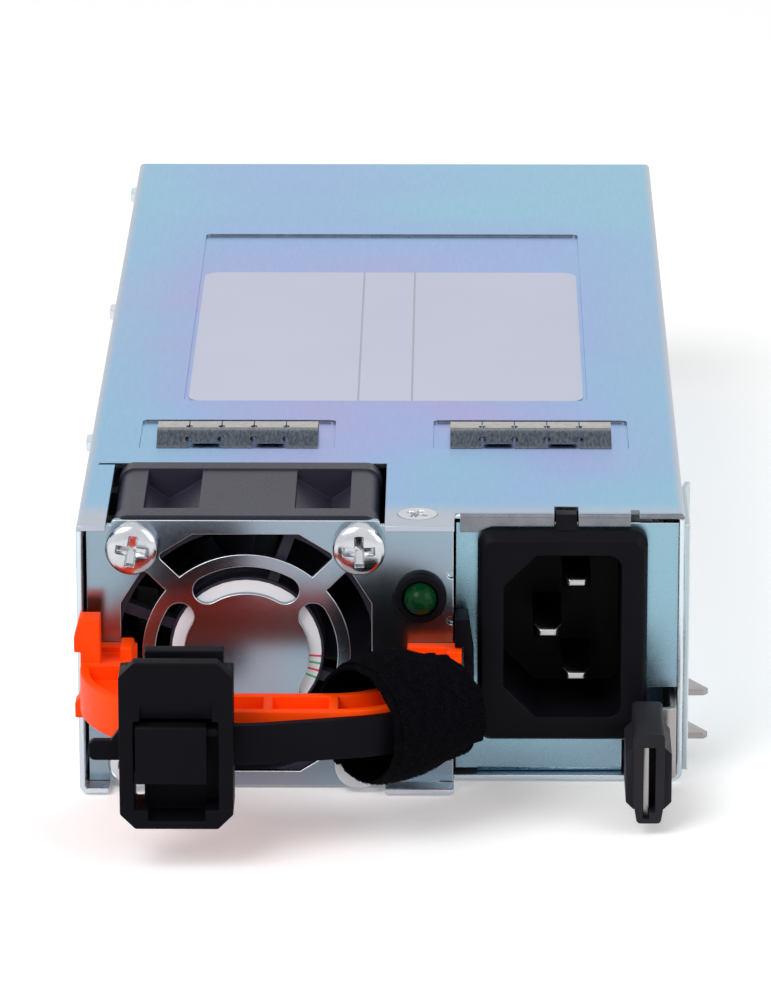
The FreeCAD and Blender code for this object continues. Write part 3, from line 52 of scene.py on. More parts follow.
# neighbours on a grid of points become quads; closed columns join the last to the first
def gridFaces(points, closeCols=False):
    rows, cols = points.shape[:2]
    i = np.arange(rows - 1)
    j = np.arange(cols if closeCols else cols - 1)
    a, b = np.meshgrid(i, j, indexing="ij")
    c, d = a + 1, (b + 1) % cols
    quads = np.stack([a * cols + b, c * cols + b, c * cols + d, a * cols + d], axis=-1)
    return points.reshape(-1, 3), quads.reshape(-1, 4)


# a profile of (radius, height) turned about an axis through a centre
def turned(profile, centre, axis, steps):
    profile = np.asarray(profile, float)
    axis = np.asarray(axis, float)
    side = np.cross(axis, [0.31, 0.57, 0.76])  # any direction off the axis
    side /= np.linalg.norm(side)
    other = np.cross(axis, side)
    turn = np.linspace(0, 2 * np.pi, steps, endpoint=False)
    ring = np.cos(turn)[:, None] * side + np.sin(turn)[:, None] * other
    points = np.asarray(centre, float) + profile[:, None, 1:2] * axis + profile[:, None, :1] * ring[None]
    return gridFaces(points, closeCols=True)


# a quarter circle of (radius, height) about a centre, from straight up to straight out
def quarterRound(out, up, radius, steps):
    turn = np.linspace(0, np.pi / 2, steps)
    return np.stack([out + radius * np.sin(turn), up + radius * np.cos(turn)], axis=-1).tolist()


joining = {"points": 1e-6, "slivers": 1e-7}  # in metres, what counts as one point or as no edge


# surfaces in millimetres become one mesh that rides a body
def makePiece(name, surfaces, body, material, sharp, replaced=(), trim=None):
    points, faces, slots, start = [], [], [], 0
    for vertices, quads, *slot in surfaces:
        points.append(vertices)
        faces.append(quads + start)
        slots.append(np.full(len(quads), slot[0] if slot else 0))
        start += len(vertices)
    mesh = bpy.data.meshes.new(name)
    mesh.from_pydata((np.concatenate(points) * mm).tolist(), [], np.concatenate(faces).tolist())
    mesh.polygons.foreach_set("material_index", np.concatenate(slots))
    work = bmesh.new()
    work.from_mesh(mesh)
    bmesh.ops.remove_doubles(work, verts=work.verts, dist=joining["points"])
    bmesh.ops.dissolve_degenerate(work, edges=work.edges, dist=joining["slivers"])
    bmesh.ops.recalc_face_normals(work, faces=work.faces)
    work.to_mesh(mesh)
    work.free()
    mesh.polygons.foreach_set("use_smooth", np.ones(len(mesh.polygons), bool))
    mesh.set_sharp_from_angle(angle=math.radians(sharp))
    piece = bpy.data.objects.new(name, mesh)
    bpy.context.scene.collection.objects.link(piece)
    mesh.materials.append(material)
    if trim:
        mesh.materials.append(trim)
    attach(piece, body)
    if replaced:
        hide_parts(*replaced)
    return piece


# inputs by name or number: a socket is linked, a plain value is set
def setInputs(tree, node, inputs):
    for key, value in inputs.items():
        if isinstance(value, bpy.types.NodeSocket):
            tree.links.new(value, node.inputs[key])
        else:
            node.inputs[key].default_value = value


# a shader node with its settings and inputs
def addNode(tree, kind, inputs=None, **settings):
    node = tree.nodes.new("ShaderNode" + kind)
    for key, value in settings.items():
        setattr(node, key, value)
    setInputs(tree, node, inputs or {})
    return node


# a bare material with its tree and shader
def newMaterial(name):
    material = bpy.data.materials.new(name)
    material.use_nodes = True
    tree = material.node_tree
    return material, tree, tree.nodes["Principled BSDF"]


# the place on the object, whole and as its x, y and z
def objectPlace(tree):
    place = addNode(tree, "TexCoord").outputs["Object"]
    return place, addNode(tree, "SeparateXYZ", {"Vector": place}).outputs


# arithmetic on one or two sockets or numbers
def calculate(tree, operation, *values):
    return addNode(tree, "Math", dict(enumerate(values)), operation=operation).outputs[0]


# 0 at the first of two places in millimetres and the top value at the second, with flat ends
def rampSocket(tree, value, places, top=1.0):
    ends = {"Value": value, "From Min": places[0] * mm, "From Max": places[1] * mm, "To Min": 0.0, "To Max": top}
    return addNode(tree, "MapRange", ends, interpolation_type="SMOOTHSTEP").outputs[0]


# a noise's usual range spread evenly about a middle value
def spreadSocket(tree, noise, middle, spread):
    ends = {"Value": noise, "From Min": 0.3, "From Max": 0.7, "To Min": max(middle - spread, 0.02),
            "To Max": middle + spread}
    return addNode(tree, "MapRange", ends).outputs[0]


# tones at stops along a value, blended between them
def toneRamp(tree, value, *stops):
    node = addNode(tree, "ValToRGB", {"Fac": value})
    elements = node.color_ramp.elements
    for index, (place, tone) in enumerate((stops[0], stops[-1])):
        elements[index].position = place
        elements[index].color = (*tone, 1)
    for place, tone in stops[1:-1]:
        elements.new(place).color = (*tone, 1)
    return node.outputs[0]


mixSockets = {"under": 6, "over": 7, "result": 2}  # the mix node's colour sockets


# a colour laid over another by a share
def mixColours(tree, share, under, over):
    inputs = {"Factor": share, mixSockets["under"]: under, mixSockets["over"]: over}
    return addNode(tree, "Mix", inputs, data_type="RGBA").outputs[mixSockets["result"]]


# a finish: two tones mixed by a soft noise, and a finer noise for roughness and bump
def makeFinish(name, tone, tone2, rough, metal, patch, grain, bump, stretch=(1, 1, 1), roughSpread=0.06,
               specular=0.5):
    material, tree, shader = newMaterial(name)
    place = addNode(tree, "TexCoord")
    mapping = addNode(tree, "Mapping", {"Vector": place.outputs["Object"], "Scale": stretch}).outputs[0]
    patches = addNode(tree, "TexNoise", {"Vector": mapping, "Scale": patch, "Detail": 3.0}).outputs["Fac"]
    fine = addNode(tree, "TexNoise", {"Vector": mapping, "Scale": grain, "Detail": 4.0}).outputs["Fac"]
    setInputs(tree, shader, {"Base Color": toneRamp(tree, patches, (0.35, tone), (0.65, tone2)),
                             "Roughness": spreadSocket(tree, fine, rough, roughSpread),
                             "Metallic": metal, "Specular IOR Level": specular})
    if bump > 0:
        relief = addNode(tree, "Bump", {"Height": fine, "Strength": bump, "Distance": 0.0001})
        setInputs(tree, shader, {"Normal": relief.outputs[0]})
    return material


zincPlaces = {"edge": (26.0, 43.0), "side": (41.4, 42.7), "front": (-86.0, -94.0)}  # where its tones change


# passivated zinc: blue and lavender clouds, turning teal towards the long edges of the sheet, with a painted
# reflection that turns it grey on its folds
def makeZinc(name, settings):
    material, tree, shader = newMaterial(name)
    place, parts = objectPlace(tree)
    across = calculate(tree, "ABSOLUTE", parts["X"])
    clouds = addNode(tree, "TexNoise", {"Vector": place, "Scale": settings["cloud"], "Detail": 2.0, "Distortion": 0.6})
    tint = toneRamp(tree, clouds.outputs["Fac"], (0.36, settings["lavender"]), (0.5, settings["blue"]),
                    (0.66, settings["teal"]))
    edge = rampSocket(tree, across, zincPlaces["edge"], settings["edge"])
    colour = mixColours(tree, edge, tint, (*settings["teal"], 1))
    # painted reflection: grey laid over the side and front folds
    if "fold" in settings:
        side = rampSocket(tree, across, zincPlaces["side"], settings["bend"])
        front = rampSocket(tree, parts["Y"], zincPlaces["front"], settings["bend"])
        colour = mixColours(tree, calculate(tree, "MAXIMUM", side, front), colour, (*settings["fold"], 1))
    grain = addNode(tree, "Mapping", {"Vector": place, "Scale": (1, 0.12, 1)})
    fine = addNode(tree, "TexNoise", {"Vector": grain.outputs[0], "Scale": 1800.0, "Detail": 3.0})
    rough = spreadSocket(tree, fine.outputs["Fac"], settings["rough"], settings["spread"])
    waves = addNode(tree, "TexNoise", {"Vector": place, "Scale": 45.0, "Detail": 1.0})
    relief = addNode(tree, "Bump", {"Height": waves.outputs["Fac"], "Strength": settings["wave"], "Distance": 0.0004})
    setInputs(tree, shader, {"Base Color": colour, "Roughness": rough, "Normal": relief.outputs[0], "Metallic": 1.0})
    return material


zincSheet = {"lavender": (0.33, 0.34, 0.64), "blue": (0.25, 0.39, 0.68), "teal": (0.21, 0.47, 0.64),
             "fold": (0.45, 0.47, 0.53), "bend": 0.9, "cloud": 12.0, "edge": 0.6, "rough": 0.30, "spread": 0.03,
             "wave": 0.02}
zincTray = {"lavender": (0.66, 0.68, 0.76), "blue": (0.62, 0.72, 0.79), "teal": (0.60, 0.74, 0.79),
            "cloud": 14.0, "edge": 0.3, "rough": 0.30, "spread": 0.03, "wave": 0.02}
zincPanel = {"lavender": (0.30, 0.38, 0.48), "blue": (0.27, 0.41, 0.51), "teal": (0.25, 0.43, 0.51),
             "cloud": 14.0, "edge": 0.3, "rough": 0.28, "spread": 0.02, "wave": 0.01}
zincGuide = {"lavender": (0.43, 0.46, 0.50), "blue": (0.41, 0.49, 0.53), "teal": (0.39, 0.50, 0.53),
             "cloud": 14.0, "edge": 0.3, "rough": 0.30, "spread": 0.02, "wave": 0.01}
zincPlate = {"lavender": (0.29, 0.31, 0.37), "blue": (0.26, 0.33, 0.40), "teal": (0.25, 0.36, 0.43),
             "cloud": 24.0, "edge": 0.2, "rough": 0.20, "spread": 0.015, "wave": 0.004}

# the other finishes: two tones, roughness, metal or not, scale of the patches and of the grain, bump
finishes = {
    "zinc": makeZinc("zincSheetFinish", zincSheet),
    "tray": makeZinc("zincTrayFinish", zincTray),
    "panel": makeZinc("zincPanelFinish", zincPanel),
    "guide": makeZinc("zincGuideFinish", zincGuide),
    "plate": makeZinc("zincPlateFinish", zincPlate),
    "bright": makeFinish("brightScrewFinish", (0.60, 0.62, 0.65), (0.52, 0.54, 0.58), 0.2, 1.0, 300, 4000, 0.01),
    "cutEdge": makeFinish("cutEdgeFinish", (0.62, 0.65, 0.68), (0.55, 0.58, 0.62), 0.3, 1.0, 300, 3000, 0.02),
    # step: the darker grey painted as shade on the cover's pressed steps and on the lip over the inlet
    "step": makeFinish("stepPaintedShadeFinish", (0.17, 0.178, 0.20), (0.21, 0.22, 0.24), 0.3, 1.0, 400, 3000, 0.02),
    "tin": makeFinish("tinnedSpringFinish", (0.052, 0.063, 0.082), (0.115, 0.135, 0.165), 0.24, 1.0, 1500, 5000, 0.03,
                      stretch=(2.4, 0.7, 0.7), roughSpread=0.08),
    # rubbed wear on the fingers' cut edges, and a painted highlight on their crest
    "wornAndHighlight": makeFinish("wornAndHighlightSpringFinish", (0.44, 0.42, 0.40), (0.36, 0.34, 0.33), 0.26, 1.0, 900, 4000, 0.02),
    "spring": makeFinish("springSteelFinish", (0.37, 0.34, 0.34), (0.33, 0.31, 0.31), 0.3, 1.0, 120, 3000, 0.01,
                         roughSpread=0.02),
    "fan": makeFinish("fanPlasticFinish", (0.027, 0.026, 0.043), (0.022, 0.021, 0.035), 0.42, 0, 80, 3500, 0.15,
                      specular=0.2),
    "black": makeFinish("blackPlasticFinish", (0.004, 0.004, 0.006), (0.003, 0.003, 0.005), 0.46, 0, 90, 4200, 0.12,
                        specular=0.06),
    "tab": makeFinish("tabPlasticFinish", (0.020, 0.019, 0.024), (0.017, 0.016, 0.020), 0.46, 0, 90, 4200, 0.10,
                      specular=0.06),
    "clip": makeFinish("clipPlasticFinish", (0.004, 0.004, 0.006), (0.003, 0.003, 0.005), 0.46, 0, 90, 4200, 0.08,
                       specular=0.045),
    "orange": makeFinish("handlePlasticFinish", (0.99, 0.068, 0.001), (0.95, 0.058, 0.001), 0.42, 0, 70, 3800, 0.06,
                         specular=0.1),
    "fabric": makeFinish("hookLoopFinish", (0.0028, 0.0026, 0.0042), (0.0014, 0.0013, 0.002), 0.9, 0, 900, 2600, 0.9,
                         specular=0.02),
    "loops": makeFinish("loopThreadFinish", (0.0075, 0.007, 0.0105), (0.0035, 0.0033, 0.005), 0.8, 0, 700, 2600, 0.0,
                        specular=0.05),
    "lens": makeFinish("lampLensFinish", (0.001, 0.028, 0.007), (0.002, 0.036, 0.010), 0.05, 0, 500, 2000, 0.0,
                       roughSpread=0.02, specular=0.08),
    "film": makeFinish("insulatorFinish", (0.62, 0.60, 0.52), (0.56, 0.54, 0.46), 0.4, 0, 60, 2500, 0.05),
    "ferrite": makeFinish("ferriteFinish", (0.06, 0.06, 0.065), (0.045, 0.045, 0.05), 0.55, 0, 200, 3000, 0.2),
    "copper": makeFinish("copperWireFinish", (0.50, 0.20, 0.07), (0.42, 0.16, 0.05), 0.3, 1.0, 200, 2500, 0.3,
                         stretch=(0.1, 0.1, 1)),
    "body": makeFinish("partBodyFinish", (0.03, 0.03, 0.034), (0.022, 0.022, 0.025), 0.5, 0, 150, 3500, 0.15),
    "aluminium": makeFinish("aluminiumFinish", (0.66, 0.67, 0.69), (0.58, 0.59, 0.61), 0.35, 1.0, 200, 2500, 0.08,
                            stretch=(1, 0.1, 1)),
    "sleeve": makeFinish("canSleeveFinish", (0.02, 0.03, 0.08), (0.016, 0.024, 0.06), 0.3, 0, 150, 3000, 0.03),
    "ceramic": makeFinish("fuseFinish", (0.60, 0.57, 0.48), (0.52, 0.50, 0.42), 0.5, 0, 200, 2500, 0.1),
    "wire": makeFinish("wireFinish", (0.05, 0.02, 0.02), (0.04, 0.015, 0.015), 0.4, 0, 200, 2500, 0.05),
}
print("finishes made:", len(finishes))


# rating label: bare pale film with two thin printed dividers
def makeLabelFinish(settings):
    material, tree, shader = newMaterial("ratingLabelFinish")
    place, parts = objectPlace(tree)
    paper = addNode(tree, "TexNoise", {"Vector": place, "Scale": 40.0, "Detail": 2.0})
    colour = toneRamp(tree, paper.outputs["Fac"], (0.0, settings["tone"]), (1.0, settings["tone2"]))
    for x in settings["dividers"]:
        away = calculate(tree, "ABSOLUTE", calculate(tree, "SUBTRACT", parts["X"], x * mm))
        line = calculate(tree, "LESS_THAN", away, settings["line"] * mm / 2)
        colour = mixColours(tree, line, colour, (*settings["ink"], 1))
    fine = addNode(tree, "TexNoise", {"Vector": place, "Scale": 3000.0, "Detail": 2.0})
    relief = addNode(tree, "Bump", {"Height": fine.outputs["Fac"], "Strength": 0.04, "Distance": 0.0001})
    setInputs(tree, shader, {"Base Color": colour, "Normal": relief.outputs[0], "Roughness": 0.42})
    return material


label = {"tone": (0.41, 0.435, 0.555), "tone2": (0.46, 0.485, 0.60), "ink": (0.30, 0.30, 0.36), "line": 0.3,
         "dividers": (-4.1, 3.9)}
finishes["label"] = makeLabelFinish(label)


# pins: bright at the tips and darkened further in by painted shade from the housing's cavity; the middle pin stands
# further out than the others
def makePinShadedFinish(settings):
    material, tree, shader = newMaterial("pinPaintedShadeFinish")
    parts = objectPlace(tree)[1]
    middle = calculate(tree, "LESS_THAN", parts["X"], settings["between"] * mm)
    longer = calculate(tree, "MULTIPLY", middle, settings["longer"] * mm)
    shadeShare = rampSocket(tree, calculate(tree, "ADD", parts["Y"], longer), settings["paintedShade"])
    colour = mixColours(tree, shadeShare, (*settings["tip"], 1), (*settings["root"], 1))
    setInputs(tree, shader, {"Base Color": colour, "Metallic": 1.0, "Roughness": 0.3})
    return material


# tip is the metal's own tone; root is painted shade, spread over the given run in y towards the housing
pins = {"tip": (0.46, 0.45, 0.44), "root": (0.05, 0.05, 0.05), "paintedShade": (-91.05, -90.6), "between": 25.6,
        "longer": 1.4}
finishes["pin"] = makePinShadedFinish(pins)


# board: green laminate, with gold contact stripes on the tongue behind the case
def makeBoardFinish(settings):
    material, tree, shader = newMaterial("boardFinish")
    place, parts = objectPlace(tree)
    weave = addNode(tree, "TexNoise", {"Vector": place, "Scale": 300.0, "Detail": 3.0})
    green = toneRamp(tree, weave.outputs["Fac"], (0.0, settings["green"]), (1.0, settings["green2"]))
    repeat = calculate(tree, "FRACT", calculate(tree, "DIVIDE", parts["X"], settings["pitch"] * mm))
    stripe = calculate(tree, "LESS_THAN", repeat, settings["share"])
    beyond = calculate(tree, "GREATER_THAN", parts["Y"], settings["from"] * mm)
    before = calculate(tree, "LESS_THAN", parts["Y"], settings["to"] * mm)
    gold = calculate(tree, "MULTIPLY", stripe, calculate(tree, "MULTIPLY", beyond, before))
    colour = mixColours(tree, gold, green, (*settings["gold"], 1))
    setInputs(tree, shader, {"Base Color": colour, "Metallic": gold, "Roughness": 0.35})
    return material


board = {"green": (0.006, 0.06, 0.022), "green2": (0.010, 0.085, 0.03), "gold": (0.86, 0.58, 0.20), "pitch": 2.2,
         "share": 0.68, "from": 99.0, "to": 106.2}
finishes["board"] = makeBoardFinish(board)


# hub label: white film with small coloured ticks round its rim
def makeHubFinish(settings):
    material, tree, shader = newMaterial("hubLabelFinish")
    place, parts = objectPlace(tree)
    dx = calculate(tree, "SUBTRACT", parts["X"], fanCentre[0] * mm)
    dz = calculate(tree, "SUBTRACT", parts["Z"], fanCentre[1] * mm)
    angle = calculate(tree, "ARCTAN2", dz, dx)
    white = addNode(tree, "TexNoise", {"Vector": place, "Scale": 120.0})
    colour = toneRamp(tree, white.outputs["Fac"], (0.0, settings["tone"]), (1.0, settings["tone2"]))
    for degrees, ink in settings["ticks"]:
        away = calculate(tree, "ABSOLUTE", calculate(tree, "SUBTRACT", angle, math.radians(degrees)))
        tick = calculate(tree, "LESS_THAN", away, math.radians(settings["tick"]))
        colour = mixColours(tree, tick, colour, (*ink, 1))
    setInputs(tree, shader, {"Base Color": colour, "Roughness": 0.35})
    return material


red, green = (0.75, 0.03, 0.10), (0.05, 0.45, 0.15)
hubLabel = {"tone": (0.74, 0.74, 0.78), "tone2": (0.80, 0.80, 0.83), "tick": 0.9,
            "ticks": ((-4, red), (-10, green), (-16, red), (-22, green))}
finishes["hub"] = makeHubFinish(hubLabel)

# each node's finish
dressing = {
    "zinc": ["top_cover"],
    "panel": ["inlet_panel"],
    "tray": ["base_tray", "rear_panel"],
    "guide": ["latch_guide", "guide_rivets"],
    "plate": ["fan_plate"],
    "bright": ["cover_screw", "fan_screws", "board_screws", "board_standoffs", "latch_rivets"],
    "tin": ["contact_strip_left", "contact_strip_right"],
    "spring": ["latch_spring"],
    "fan": ["fan_frame", "fan_rotor"],
    "black": ["lamp_bezel", "inlet_housing", "fan_socket"],
    "tab": ["latch_tab"],
    "clip": ["ratchet_strap", "strap_slider", "release_flap", "flap_pin"],
    "orange": ["pull_handle"],
    "fabric": ["hook_and_loop_band"],
    "lens": ["status_lamp"],
    "pin": ["inlet_pins"],
    "label": ["rating_label"],
    "hub": ["fan_label"],
    "board": ["main_board", "control_board"],
    "film": ["insulating_sheet"],
    "ferrite": ["common_mode_choke", "main_transformer", "boost_choke", "output_choke"],
    "copper": ["transformer_winding", "boost_winding", "output_winding"],
    "body": ["line_capacitor", "inrush_relay", "bridge_rectifier", "standby_transformer", "primary_transistors",
             "secondary_transistors"],
    "aluminium": ["primary_heatsink", "secondary_heatsink"],
    "sleeve": ["bulk_capacitors", "output_capacitors"],
    "ceramic": ["fuse_link"],
    "wire": ["inlet_wires", "fan_lead"],
}
for finish, names in dressing.items():
    for name in names:
        nodes[name].data.materials.clear()
        nodes[name].data.materials.append(finishes[finish])

# broken edges on the solids: width in millimetres, left alone where the solid is replaced below
softEdges = {"base_tray": 0.18, "rear_panel": 0.12, "latch_guide": 0.15, "pull_handle": 0.2, "ratchet_strap": 0.08,
             "strap_slider": 0.25, "release_flap": 0.2, "inlet_housing": 0.16, "latch_spring": 0.12, "latch_tab": 0.1,
             "inlet_pins": 0.2, "main_board": 0.1}
rounding = {"weld": 0.002, "flat": 0.5, "angle": 34, "segments": 3}  # weld in millimetres, angles in degrees
cutSheets = ("base_tray", "latch_guide")  # their edges show bare bright metal
for name, width in softEdges.items():
    solid = nodes[name]
    solid.data.polygons.foreach_set("use_smooth", np.ones(len(solid.data.polygons), bool))
    weld = solid.modifiers.new("weld", "WELD")
    weld.merge_threshold = rounding["weld"] * mm
    flat = solid.modifiers.new("flat", "DECIMATE")
    flat.decimate_type = "DISSOLVE"
    flat.angle_limit = math.radians(rounding["flat"])
    bevel = solid.modifiers.new("edges", "BEVEL")
    bevel.width = width * mm
    bevel.segments = rounding["segments"]
    bevel.limit_method = "ANGLE"
    bevel.angle_limit = math.radians(rounding["angle"])
    bevel.harden_normals = True
    bevel.use_clamp_overlap = False
    if name in cutSheets:
        solid.data.materials.append(finishes["cutEdge"])
        bevel.material = 1


# pressed steps: the faces on top of the sheet that look along it, and the lip over the inlet, take the second finish,
# a darker grey chosen by which way each face looks: painted shade
def markShadedSteps(mesh, settings):
    normal, middle = np.empty((2, len(mesh.polygons) * 3), np.float32)
    mesh.polygons.foreach_get("normal", normal)
    mesh.polygons.foreach_get("center", middle)
    normal, middle = normal.reshape(-1, 3), middle.reshape(-1, 3) / mm
    step = ((np.abs(normal[:, 1]) > settings["facing"]) & (np.abs(middle[:, 0]) < settings["side"])
            & (middle[:, 1] > settings["front"]) & (middle[:, 2] > settings["above"]))
    lip = (normal[:, 1] < -settings["facing"]) & (middle[:, 0] > settings["lip"])
    mesh.polygons.foreach_set("material_index", (step | lip).astype(np.int32))


# a solid's copy with its hard edges rounded, apart from those near the corners too tight for it; the rounded edges
# take the finish in the slot called bare, or the sheet's own where that is -1
def roundedCopy(name, node, settings):
    work = bmesh.new()
    work.from_mesh(nodes[node].data)
    bmesh.ops.remove_doubles(work, verts=work.verts, dist=rounding["weld"] * mm)
    bmesh.ops.dissolve_limit(work, angle_limit=math.radians(rounding["flat"]), verts=work.verts, edges=work.edges)
    mesh = bpy.data.meshes.new(name)
    work.to_mesh(mesh)
    places = np.empty(len(mesh.vertices) * 3, np.float32)
    mesh.vertices.foreach_get("co", places)
    places = places.reshape(-1, 3).astype(float) / mm
    away = np.linalg.norm(places[:, None] - np.array(settings["tight"])[None], axis=2)
    tight = (away < settings["reach"]).any(axis=1)
    work.verts.index_update()
    hard = [edge for edge in work.edges if edge.calc_face_angle(0) > math.radians(settings["angle"])
            and not tight[[vert.index for vert in edge.verts]].any()]
    bmesh.ops.bevel(work, geom=hard, offset=settings["width"] * mm, offset_type="OFFSET",
                    segments=rounding["segments"], profile=0.5, affect="EDGES", clamp_overlap=False,
                    material=settings["bare"])
    work.to_mesh(mesh)
    work.free()
    mesh.polygons.foreach_set("use_smooth", np.ones(len(mesh.polygons), bool))
    mesh.materials.append(finishes[settings["finish"]])
    mesh.materials.append(finishes[settings["edge"]])
    if "steps" in settings:
        markShadedSteps(mesh, settings["steps"])
    piece = bpy.data.objects.new(name, mesh)
    bpy.context.scene.collection.objects.link(piece)
    even = piece.modifiers.new("even", "WEIGHTED_NORMAL")
    even.mode = "FACE_AREA"
    even.weight = 100
    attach(piece, "module")
    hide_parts(node)


# the cover's second slot holds the painted shade on its steps and lip
coverSheet = {"width": 0.07, "angle": 12, "tight": ((11.1, -92.0, 39.9),), "reach": 0.6, "finish": "zinc",
              "edge": "step", "bare": -1,
              "steps": {"facing": 0.5, "side": 41.0, "front": -70.0, "above": 39.2, "lip": 11.5}}
inletSheet = {"width": 0.12, "angle": 34, "tight": ((13.6, -91.1, 1.7),), "reach": 0.6, "finish": "panel",
              "edge": "cutEdge", "bare": 1}
fanSheet = {"width": 0.1, "angle": 34, "tight": ((-40.1, -93.9, 3.2), (-40.1, -93.9, 36.8)), "reach": 0.6,
            "finish": "plate", "edge": "cutEdge", "bare": 1}
fanHousing = {"width": 0.1, "angle": 34, "reach": 2.6, "finish": "fan", "edge": "fan", "bare": -1,
              "tight": ((-38.0, -68.9, 1.8), (-38.0, -68.9, 38.2), (-0.15, -68.9, 1.8), (-0.15, -68.9, 38.2))}
roundedCopy("coverSheet", "top_cover", coverSheet)
roundedCopy("inletSheet", "inlet_panel", inletSheet)
roundedCopy("fanSheet", "fan_plate", fanSheet)
roundedCopy("fanHousing", "fan_frame", fanHousing)
print("solids dressed")


# shares of the head's radius where fine rows give way to coarse ones, of the arm where its end rises, and of the slot
# where its wall stands, with the pit's depth at the arm's end
recess = {"rows": (44, 18), "split": (0.62, 0.64), "around": 192, "armEnd": 0.86, "wall": (0.42, 0.6), "shallow": 0.45}


# cross recess: height is the head's dome, less a tapering cross-shaped pit
def crossHead(settings, centre, axis):
    radius, rise, lip = settings["radius"], settings["rise"], settings["lip"]
    rho = np.concatenate([np.linspace(0, recess["split"][0], recess["rows"][0]),
                          np.linspace(recess["split"][1], 1.0, recess["rows"][1])]) * radius
    theta = np.linspace(0, 2 * np.pi, recess["around"], endpoint=False)
    r, t = np.meshgrid(rho, theta, indexing="ij")
    u, v = np.abs(r * np.cos(t + settings["turn"])), np.abs(r * np.sin(t + settings["turn"]))
    dome = lip + (rise - lip) * np.sqrt(np.clip(1 - (r / radius) ** settings["power"], 0, 1))
    arm, slot = settings["arm"], settings["slot"]
    reach = 1 - np.clip(np.maximum(u, v) / arm, 0, 1)
    along = 1 - smoothRamp(np.maximum(u, v), arm * recess["armEnd"], arm)
    narrow = 1 - smoothRamp(np.minimum(u, v), slot * recess["wall"][0], slot * recess["wall"][1])
    taper = recess["shallow"] + (1 - recess["shallow"]) * reach
    height = dome - settings["depth"] * along * narrow * taper
    axis = np.asarray(axis, float)
    side = np.cross(axis, [0, 0, 1]) if abs(axis[2]) < 0.9 else np.array([1.0, 0, 0])  # square to it
    other = np.cross(axis, side)
    x, y = r * np.cos(t), r * np.sin(t)
    top = np.asarray(centre, float) + x[..., None] * side + y[..., None] * other + height[..., None] * axis
    core, shank = settings["core"], settings["shank"]
    seat = [(core, lip - (radius - core))] if settings["sunk"] else [(radius, 0), (core, 0)]
    under = [(radius, lip)] + seat + [(core, -shank), (0, -shank)]
    return [gridFaces(top, closeCols=True), turned(under, centre, axis, recess["around"])]


fanScrew = {"radius": 3.72, "rise": 2.78, "lip": 1.6, "power": 2.6, "arm": 2.3, "slot": 1.1, "depth": 1.7,
            "core": 1.45, "shank": 4.0, "sunk": False, "front": -94.8, "offset": 16, "turns": (0.10, -0.06),
            "twist": 0.05}
heads = []
for a, turn in zip((-1, 1), fanScrew["turns"]):
    for b in (-1, 1):
        centre = (fanCentre[0] + a * fanScrew["offset"], fanScrew["front"], fanCentre[1] + b * fanScrew["offset"])
        heads += crossHead({**fanScrew, "turn": turn + b * fanScrew["twist"]}, centre, outward)
makePiece("fanScrewHeads", heads, "module", finishes["bright"], sharp=40, replaced=("fan_screws",))
lidScrew = {"centre": (5.115, -92.1, 39.98), "radius": 2.78, "rise": 0.02, "lip": 0.0, "power": 2.0, "arm": 1.7,
            "slot": 0.95, "depth": 1.0, "core": 1.25, "shank": 4.3, "turn": 0.5, "sunk": True}
makePiece("lidScrewHead", crossHead(lidScrew, lidScrew["centre"], (0, 0, 1)), "module", finishes["bright"], sharp=40,
          replaced=("cover_screw",))
print("screws made")


# lamp: a half-dome lens in a rounded black collar
lamp = {"centre": (5.5, -94.8, 28.6), "lens": 2.3, "sunk": 0.1, "collar": 3.75, "proud": 1.3, "round": 0.55,
        "hole": 2.4, "chamfer": 0.25, "wall": 0.3, "depth": 3.4, "around": 72}
hole, proud, depth, sleeve = lamp["hole"], lamp["proud"], lamp["depth"], lamp["hole"] + lamp["wall"]
lens = quarterRound(0, proud - lamp["sunk"], lamp["lens"], steps=24) + [(lamp["lens"], -depth), (0, -depth)]
makePiece("lampLens", [turned(lens, lamp["centre"], outward, lamp["around"])], "module", finishes["lens"], sharp=50,
          replaced=("status_lamp",))
collar = [(hole, -depth), (hole, proud - lamp["chamfer"]), (hole + lamp["chamfer"], proud)]
collar += quarterRound(lamp["collar"] - lamp["round"], proud - lamp["round"], lamp["round"], steps=10)
collar += [(lamp["collar"], 0), (sleeve, 0), (sleeve, -depth), (hole, -depth)]
makePiece("lampCollar", [turned(collar, lamp["centre"], outward, lamp["around"])], "module", finishes["black"],
          sharp=40, replaced=("lamp_bezel",))
